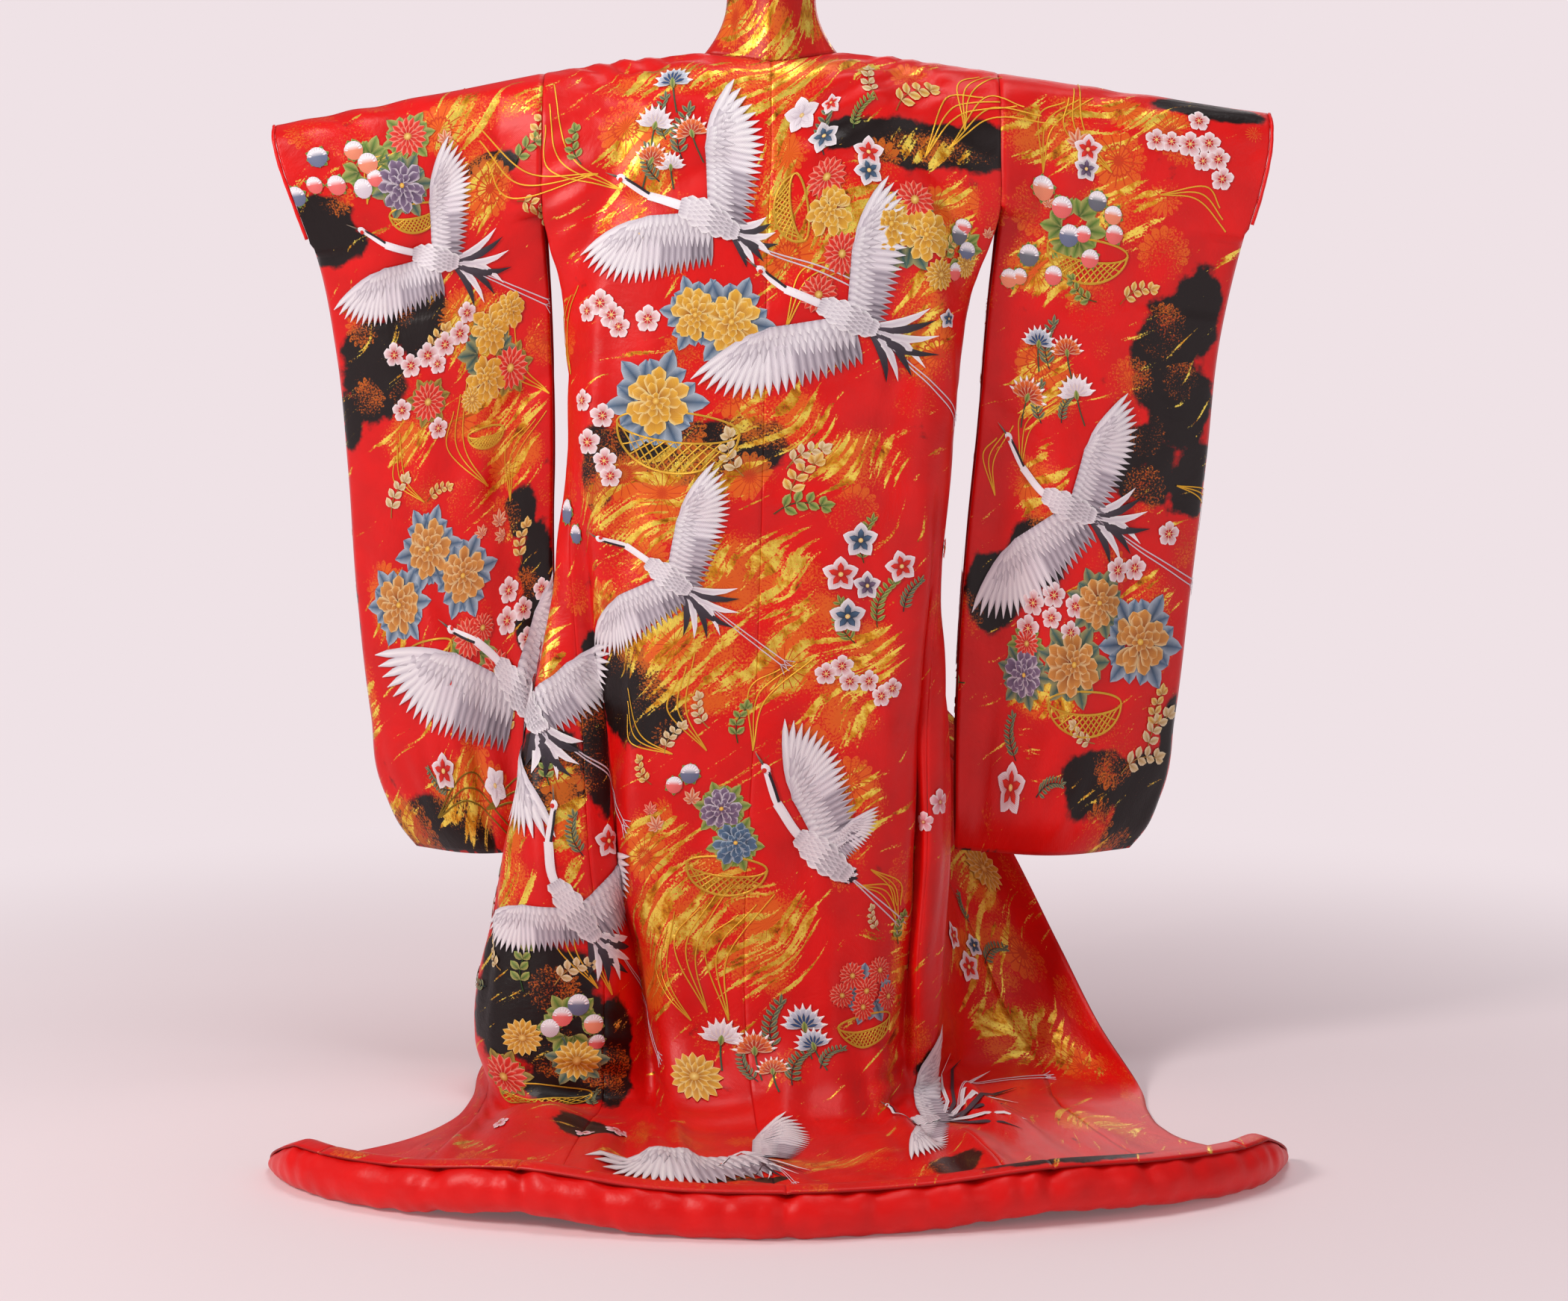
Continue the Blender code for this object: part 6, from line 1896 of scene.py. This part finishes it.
# kind, zone, then (u, v, size, turn, colour) in mm and degrees
MOTIFS: tuple[tuple[str, Zone, tuple], ...] = (
    ("plum", Zone.LEFT_SLEEVE, (
        (-565, -345, 17, 0, ""), (-540, -365, 18, 0, ""), (-510, -355, 19, 0, ""), (-495, -370, 15, 0, ""),
        (-480, -345, 18, 0, ""), (-455, -335, 17, 0, ""), (-440, -310, 15, 0, ""), (-560, -425, 17, 0, ""),
        (-500, -460, 16, 0, ""), (-385, -705, 19, 0, ""), (-360, -735, 17, 0, ""), (-390, -745, 20, 0, ""),
        (-325, -715, 16, 0, ""), (-355, -775, 16, 0, ""),
    )),
    ("plum", Zone.BACK, (
        (-245, -340, 16, 0, ""), (-225, -330, 18, 0, ""), (-210, -345, 18, 0, ""), (-200, -360, 16, 0, ""),
        (-160, -350, 18, 0, ""), (-175, -250, 17, 0, ""), (-250, -460, 16, 0, ""), (-220, -480, 17, 0, ""),
        (-240, -515, 18, 0, ""), (-215, -540, 18, 0, ""), (-205, -560, 16, 0, ""), (85, -820, 15, 0, ""),
        (105, -810, 15, 0, ""), (115, -830, 14, 0, ""), (140, -830, 15, 0, ""), (160, -850, 15, 0, ""),
        (175, -840, 14, 0, ""),
    )),
    ("plum", Zone.RIGHT_SLEEVE, (
        (515, -80, 16, 0, ""), (535, -80, 15, 0, ""), (560, -80, 18, 0, ""), (585, -75, 16, 0, ""),
        (570, -45, 15, 0, ""), (600, -95, 16, 0, ""), (580, -100, 14, 0, ""), (610, -120, 16, 0, ""),
        (615, -600, 17, 0, ""), (540, -655, 18, 0, ""), (570, -650, 18, 0, ""), (415, -715, 18, 0, ""),
        (410, -750, 19, 0, ""), (445, -700, 18, 0, ""), (480, -710, 17, 0, ""), (475, -745, 16, 0, ""),
        (445, -730, 15, 0, ""),
    )),
    ("pink", Zone.BACK, (
        (-300, -1565, 15, 0, ""), (-260, -1535, 17, 0, ""), (-235, -1520, 16, 0, ""),
        (325, -995, 18, 0, ""), (300, -1020, 14, 0, ""), (-420, -1550, 14, 0, ""),
    )),
    ("peony", Zone.LEFT_SLEEVE, (
        (-510, -130, 33, 0, "plum"), (-525, -625, 40, 0, "amber"), (-465, -670, 38, 0, "amber"),
        (-585, -695, 38, 0, "amber"), (-405, -340, 34, 0, "gold"), (-415, -405, 32, 20, "gold"),
        (-370, -320, 26, 0, "gold"),
    )),
    ("peony", Zone.BACK, (
        (-95, -345, 34, 0, "gold"), (-45, -355, 40, 0, "gold"), (-145, -460, 46, 10, "gold"),
        (-35, -995, 27, 0, "plum"), (-15, -1040, 27, 0, "slate"), (160, -240, 34, 0, "gold"),
        (205, -250, 30, 0, "gold"), (80, -225, 30, 0, "gold"),
    )),
    ("peony", Zone.RIGHT_SLEEVE, (
        (410, -810, 30, 0, "plum"), (515, -700, 34, 0, "amber"), (485, -785, 40, 0, "amber"),
        (590, -745, 44, 0, "amber"),
    )),
    ("mum", Zone.LEFT_SLEEVE, (
        (-375, -400, 30, 0, "red"), (-515, -420, 28, 0, "red"), (-490, -70, 26, 0, "red"),
        (-440, -430, 20, 0, "gold"), (-460, -755, 28, 0, "red"), (-490, -800, 28, 0, "red"),
        (-415, -805, 28, 0, "red"), (-435, -745, 20, 0, "red"),
    )),
    ("mum", Zone.BACK, (
        (75, -185, 26, 0, "red"), (190, -210, 26, 0, "red"), (65, -320, 24, 0, "red"),
        (95, -275, 24, 0, "red"), (-440, -1355, 34, 0, "red"), (-340, -1325, 30, 0, "gold"),
        (-410, -1295, 26, 0, "gold"), (660, -1125, 30, 0, "gold"), (-65, -1340, 34, 0, "gold"),
        (140, -1210, 18, 0, "red"), (160, -1230, 18, 0, "red"), (180, -1205, 18, 0, "red"),
        (155, -1250, 18, 0, "red"), (125, -1235, 16, 0, "red"), (195, -1240, 18, 0, "red"),
        (310, -660, 14, 0, "red"), (270, -280, 18, 0, "gold"), (225, -295, 20, 0, "gold"),
    )),
    ("mum", Zone.RIGHT_SLEEVE, (
        (410, -770, 20, 0, "red"),
    )),
    ("bell", Zone.BACK, (
        (40, -90, 24, 0, "white"), (70, -130, 22, 10, "slate"), (130, -155, 22, 0, "red"),
        (130, -180, 20, 20, "slate"), (125, -645, 24, 0, "slate"), (100, -690, 24, 0, "red"),
        (180, -680, 22, 15, "red"), (110, -745, 24, 0, "slate"), (135, -705, 20, 0, "plum"),
        (-275, -1045, 22, 0, "red"), (515, -1200, 20, 0, "red"), (560, -1220, 16, 0, "slate"),
        (240, -350, 14, 0, "slate"), (80, -90, 14, 0, "red"),
    )),
    ("bell", Zone.RIGHT_SLEEVE, (
        (400, -940, 24, 0, "red"), (425, -105, 20, 0, "red"), (425, -130, 18, 0, "plum"),
    )),
    ("bell", Zone.LEFT_SLEEVE, (
        (-525, -915, 22, 0, "red"), (-430, -935, 20, 20, "white"),
    )),
    ("fan", Zone.BACK, (
        (-130, -70, 24, 0, "blue"), (-155, -120, 24, -15, "white"), (-105, -135, 24, 15, "orange"),
        (-160, -165, 22, -30, "orange"), (-135, -175, 18, 0, "white"), (-30, -1290, 26, -10, "white"),
        (10, -1305, 26, 0, "orange"), (75, -1275, 28, 0, "blue"), (85, -1300, 24, 15, "blue"),
        (30, -1335, 20, 0, "orange"),
    )),
    ("fan", Zone.RIGHT_SLEEVE, (
        (385, -370, 24, 0, "blue"), (430, -375, 24, 10, "orange"), (375, -445, 28, -15, "orange"),
        (450, -430, 28, 15, "white"),
    )),
    ("pompon", Zone.LEFT_SLEEVE, (
        (-615, -75, 15, 0, "blue"), (-660, -120, 14, 0, "blue"), (-565, -75, 14, 0, "orange"),
        (-550, -95, 15, 0, "orange"), (-545, -115, 12, 0, "red"), (-600, -115, 14, 0, "red"),
        (-630, -110, 12, 0, "red"), (-565, -125, 14, 0, "white"),
    )),
    ("pompon", Zone.RIGHT_SLEEVE, (
        (355, -255, 16, 0, "slate"), (395, -185, 16, 0, "red"), (445, -170, 15, 0, "slate"),
        (410, -220, 16, 0, "blue"), (470, -185, 14, 0, "orange"), (395, -275, 14, 0, "red"),
        (345, -285, 12, 0, "orange"), (445, -245, 14, 0, "red"), (430, -215, 12, 0, "red"),
        (330, -290, 14, 0, "orange"), (475, -210, 14, 0, "red"), (365, -165, 18, 0, "orange"),
    )),
    ("pompon", Zone.BACK, (
        (255, -245, 14, 0, "slate"), (270, -265, 14, 0, "blue"), (250, -290, 12, 0, "red"),
        (260, -235, 12, 0, "red"), (-360, -1265, 14, 0, "red"), (-340, -1250, 15, 0, "blue"),
        (-375, -1280, 13, 0, "white"), (-320, -1275, 14, 0, "orange"), (-315, -1300, 12, 0, "red"),
        (-310, -610, 18, 0, "blue"), (-285, -640, 14, 0, "blue"), (-80, -950, 14, 0, "blue"),
        (-100, -965, 12, 0, "red"),
    )),
    ("basket", Zone.LEFT_SLEEVE, (
        (-500, -165, 38, 0, ""), (-540, -760, 48, 5, ""), (-420, -480, 30, 0, ""),
    )),
    ("basket", Zone.BACK, (
        (-115, -495, 85, -6, ""), (-25, -1070, 52, -5, ""), (160, -1270, 42, 8, ""),
        (-390, -1380, 70, 0, ""), (40, -210, 45, -80, ""),
    )),
    ("basket", Zone.RIGHT_SLEEVE, (
        (440, -235, 60, 0, ""), (510, -830, 60, 5, ""),
    )),
    ("clover", Zone.LEFT_SLEEVE, (
        (-345, -140, 55, 30, "green"), (-305, -125, 50, 80, "gold"), (-340, -185, 45, -40, "gold"),
        (-590, -575, 55, 60, "beige"), (-525, -560, 40, 20, "gold"), (-395, -890, 45, 70, "gold"),
        (-510, -365, 50, 50, "gold"), (-360, -675, 50, 80, "gold"),
    )),
    ("clover", Zone.BACK, (
        (15, -610, 60, 10, "green"), (35, -595, 60, 60, "gold"), (-25, -560, 55, 110, "beige"),
        (30, -550, 50, 30, "beige"), (-410, -1235, 55, 80, "green"), (-440, -1210, 40, 120, "beige"),
        (-370, -1225, 50, 30, "beige"), (165, -100, 60, 40, "gold"), (140, -90, 45, 100, "beige"),
        (-20, -910, 45, 80, "green"), (-60, -890, 40, 110, "beige"), (-115, -925, 40, 60, "beige"),
        (-130, -965, 35, 120, "gold"), (215, -1175, 35, 80, "green"), (180, -1155, 30, 110, "beige"),
        (230, -275, 40, 40, "gold"), (-250, -155, 45, 100, "green"), (-355, -970, 40, 80, "green"),
    )),
    ("clover", Zone.RIGHT_SLEEVE, (
        (500, -300, 50, 30, "gold"), (465, -300, 45, 150, "green"), (620, -890, 60, 60, "beige"),
        (580, -915, 60, 20, "beige"), (635, -860, 50, 90, "gold"), (530, -880, 40, 150, "beige"),
        (315, -835, 35, 160, "green"),
    )),
    ("pinnate", Zone.BACK, (
        (130, -675, 55, 80, "green"), (150, -760, 60, 70, "green"), (120, -780, 55, 110, "green"),
        (185, -740, 45, 60, "teal"), (70, -155, 60, 80, "teal"), (110, -125, 40, 60, "green"),
        (-315, -1060, 50, 100, "teal"), (570, -1245, 50, 20, "teal"), (575, -1190, 35, 80, "teal"),
        (-140, -140, 50, 90, "teal"), (-120, -165, 60, 80, "teal"), (-150, -190, 45, 110, "teal"),
        (35, -1305, 60, 80, "teal"), (10, -1345, 45, 110, "teal"), (50, -1355, 55, 60, "teal"),
        (90, -1330, 40, 40, "teal"), (-315, -1420, 40, 90, "teal"),
    )),
    ("pinnate", Zone.RIGHT_SLEEVE, (
        (405, -915, 50, 100, "teal"), (445, -945, 40, 20, "teal"), (405, -400, 60, 90, "teal"),
        (400, -475, 50, 95, "teal"), (430, -470, 40, 70, "teal"),
    )),
    ("pinnate", Zone.LEFT_SLEEVE, (
        (-520, -935, 40, 150, "teal"),
    )),
    ("maple", Zone.LEFT_SLEEVE, (
        (-400, -610, 20, 0, "orange"), (-430, -620, 16, 30, "orange"), (-395, -630, 16, 60, "orange"),
        (-440, -85, 16, 0, "orange"),
    )),
    ("maple", Zone.BACK, (
        (-75, -985, 18, 0, "orange"), (-120, -1020, 18, 30, "orange"), (-130, -1000, 14, 0, "red"),
        (295, -240, 12, 0, "orange"),
    )),
    ("maple", Zone.RIGHT_SLEEVE, (
        (375, -185, 14, 0, "orange"), (410, -100, 22, 0, "orange"),
    )),
    ("leafring", Zone.LEFT_SLEEVE, (
        (-525, -625, 62, 0, "slate"), (-465, -670, 62, 0, "slate"), (-585, -695, 60, 0, "slate"),
        (-510, -130, 46, 0, "teal"), (-410, -370, 52, 0, "teal"), (-375, -400, 40, 0, "olive"),
        (-515, -420, 38, 0, "olive"), (-460, -780, 50, 0, "green"), (-490, -70, 38, 0, "green"),
        (-550, -100, 44, 0, "green"),
    )),
    ("leafring", Zone.BACK, (
        (-45, -355, 62, 0, "slate"), (-95, -345, 50, 0, "slate"), (-145, -460, 74, 0, "slate"),
        (-35, -995, 38, 0, "green"), (-15, -1040, 38, 0, "green"), (175, -245, 56, 0, "teal"),
        (-440, -1355, 44, 0, "olive"), (-340, -1325, 42, 0, "teal"), (260, -265, 34, 0, "green"),
        (165, -1230, 46, 0, "slate"), (-350, -1275, 44, 0, "green"),
    )),
    ("leafring", Zone.RIGHT_SLEEVE, (
        (485, -785, 58, 0, "teal"), (590, -745, 70, 0, "slate"), (515, -700, 50, 0, "teal"),
        (410, -810, 44, 0, "teal"), (410, -770, 32, 0, "green"), (415, -210, 50, 0, "green"),
    )),
    ("grass", Zone.BACK, (
        (-230, -170, 200, 150, "gold"), (-200, -195, 180, 120, "gold"), (205, -150, 150, 35, "gold"),
        (235, -135, 160, 20, "gold"), (255, -110, 110, 60, "gold"), (-60, -920, 130, 100, "gold"),
        (0, -920, 140, 60, "gold"), (-105, -925, 110, 130, "gold"), (-45, -1255, 170, 80, "gold"),
        (-20, -1265, 170, 70, "gold"), (-65, -1265, 140, 100, "gold"), (165, -1075, 90, -60, "gold"),
        (145, -1095, 90, -40, "gold"), (-315, -1230, 130, 95, "gold"), (-295, -1240, 110, 80, "gold"),
        (-285, -425, 120, 80, "gold"), (25, -365, 130, 40, "gold"),
    )),
    ("grass", Zone.LEFT_SLEEVE, (
        (-420, -555, 160, 100, "gold"), (-380, -585, 130, 60, "gold"), (-455, -955, 150, -20, "olive"),
        (-560, -960, 160, -10, "olive"), (-530, -560, 110, 110, "gold"), (-565, -145, 90, 40, "gold"),
        (-310, -450, 160, 110, "gold"),
    )),
    ("grass", Zone.RIGHT_SLEEVE, (
        (365, -145, 130, 60, "gold"), (460, -130, 140, 110, "gold"), (530, -150, 110, -20, "gold"),
        (375, -545, 130, 60, "gold"), (340, -585, 100, 80, "gold"), (620, -535, 90, -40, "gold"),
    )),
)


@dataclass
class Embroidery:
    """All the stitching, one piece for each zone."""

    drape: Drape

    def build(self, silk: bpy.types.Material) -> dict[Zone, bpy.types.Object]:
        """Stitch every motif.

        Args:
            silk: finish of the threads.

        Returns:
            The finished piece of each zone.
        """
        made = {}
        for zone in (Zone.BACK, Zone.RIGHT_SLEEVE, Zone.LEFT_SLEEVE):
            on = Stitcher(zone, self.drape)
            for kind, where, rows in MOTIFS:
                for row in rows if where is zone else ():
                    Motif(kind, *row).stitch(on)
            for crane in CRANES:
                if crane.zone is zone:
                    crane.stitch(on)
            made[zone] = on.finish(silk)
        made[Zone.RIGHT_SLEEVE_FRONT] = self.copied(Zone.RIGHT_SLEEVE_FRONT, {Zone.LEFT_SLEEVE: (0, 0)}, silk)
        made[Zone.LEFT_SLEEVE_FRONT] = self.copied(Zone.LEFT_SLEEVE_FRONT, {Zone.RIGHT_SLEEVE: (0, 0)}, silk)
        made[Zone.FRONTS] = self.copied(
            Zone.FRONTS, {Zone.LEFT_SLEEVE: (10, -330), Zone.RIGHT_SLEEVE: (-30, -290)}, silk)
        return made

    def copied(self, zone: Zone, sources: dict, silk: bpy.types.Material) -> bpy.types.Object:
        """Carry motifs over to a side that the photograph doesn't show.

        Args:
            zone: the side.
            sources: for each zone whose motifs it takes mirrored, how far they move in mm.
            silk: finish of the threads.

        Returns:
            The finished piece.
        """
        on = Stitcher(zone, self.drape)
        for kind, where, rows in MOTIFS:
            for u, v, size, turn, tint in rows if where in sources else ():
                du, dv = sources[where]
                if self.fits(zone, -u + du, v + dv, size):
                    Motif(kind, -u + du, v + dv, size, 180 - turn if kind in ("clover", "pinnate", "grass")
                          else -turn, tint).stitch(on)
        for crane in CRANES:
            if crane.zone in sources:
                du, dv = sources[crane.zone]
                parts = ((-a, b) for a, b in (crane.beak, crane.upper, crane.lower, crane.tail, crane.feet))
                if self.fits(zone, -crane.u + du, crane.v + dv, 60):
                    Crane(zone, -crane.u + du, crane.v + dv, *parts).stitch(on)
        return on.finish(silk)

    def fits(self, zone: Zone, u: float, v: float, size: float) -> bool:
        """Whether a motif of this size, in mm, lies on the cloth of its side and clear of the rest."""
        if zone is not Zone.FRONTS:
            return True
        return 440 + size / 2 < abs(u) < okumi_edge(-v / 1000) * 1000 - size - 8 and v > -1260


@dataclass
class Studio:
    """Pale floor, soft lights and the photograph's view."""

    eye: tuple = (0.0, -4.2, 0.96 - HELD_AT)
    lens: float = 72.0
    shift: tuple = ((1050 - 1033) / 2100, (490 - 871.5) / 2100)

    def build(self) -> None:
        """Set the studio up."""
        self.floor()
        self.light("key", (-3.0, -2.7, 1.5), 1.1, 116, "#fff6f2")
        self.light("fill", (2.4, -3.6, 0.6), 2.0, 15, "#fff4f4")
        self.light("top", (0.3, -0.6, 2.6), 1.4, 30, "#ffffff")
        self.light("back", (0.8, 3.6, 1.2), 2.6, 40, "#fff4f4")
        world = bpy.data.worlds.new("studio_air")
        bpy.context.scene.world = world
        world.use_nodes = True
        tree = world.node_tree
        sky = tree.nodes["Background"]
        sky.inputs["Color"].default_value = linear(Paper.air)
        seen = add(tree, "LightPath", out="Is Camera Ray")
        power = add(tree, "MapRange", {0: seen, 3: 0.30, 4: 1.0})
        tree.links.new(power, sky.inputs["Strength"])
        bpy.context.scene.view_settings.view_transform = "Standard"
        self.camera()

    def floor(self) -> None:
        """A wide disc of floor."""
        bm = bmesh.new()
        bmesh.ops.create_circle(bm, cap_ends=True, segments=96, radius=60.0)
        bmesh.ops.translate(bm, verts=list(bm.verts), vec=(0, 0, -HELD_AT))
        made = make_object("studio_floor", bm, (Paper("pale_floor").make(),))

    def light(self, name: str, place: tuple, size: float, power: float, tone: str) -> None:
        """A square soft light that faces the garment."""
        lamp = bpy.data.lights.new(name, "AREA")
        lamp.shape, lamp.size, lamp.energy, lamp.color = "SQUARE", size, power, linear(tone)[:3]
        made = bpy.data.objects.new(name, lamp)
        made.location = place
        aim = Vector((0, 0, -0.55)) - Vector(place)
        made.rotation_euler = aim.to_track_quat("-Z", "Y").to_euler()
        bpy.context.scene.collection.objects.link(made)

    def camera(self) -> None:
        """A level view of the back; the picture is the lower part of a taller frame."""
        lens = bpy.data.cameras.new("view")
        lens.lens, lens.sensor_width = self.lens, 36.0
        lens.shift_x, lens.shift_y = self.shift
        made = bpy.data.objects.new("view", lens)
        made.location = self.eye
        made.rotation_euler = (math.radians(90), 0, 0)
        bpy.context.scene.collection.objects.link(made)
        bpy.context.scene.camera = made


def main() -> None:
    """Build every piece in order and say how large each is."""
    Studio().build()
    drape = Drape()
    brocade = Brocade("silk_satin_brocade").make()
    lining = Satin("red_lining_silk", red="#c40904", shade="#860502", rough=0.5).make()
    satin = Satin("red_silk_satin").make()
    gold = Brocade("gold_brocade", red="#c81a08").make()
    pieces, cloth = [], {}
    for side in (1, -1):
        form = SleeveForm(drape, side)
        cloth[side] = (
            BodyStrip(drape, side).build(brocade, lining), Overlap(drape, side).build(brocade, lining),
            Sleeve(form).build(brocade, lining), CuffPiping(form).build(satin))
        pieces += cloth[side]
    pieces.append(Collar(drape).build(gold, lining))
    pieces.append(HemRoll(drape).build(satin))
    silk = Thread("embroidery_silk").make()
    stitched = Embroidery(drape).build(silk)
    pieces += stitched.values()
    for piece in pieces:
        LOG.info("%s: %d faces", piece.name, len(piece.data.polygons))


if __name__ == "__main__":
    logging.basicConfig(level=logging.INFO, format="%(message)s")
    main()
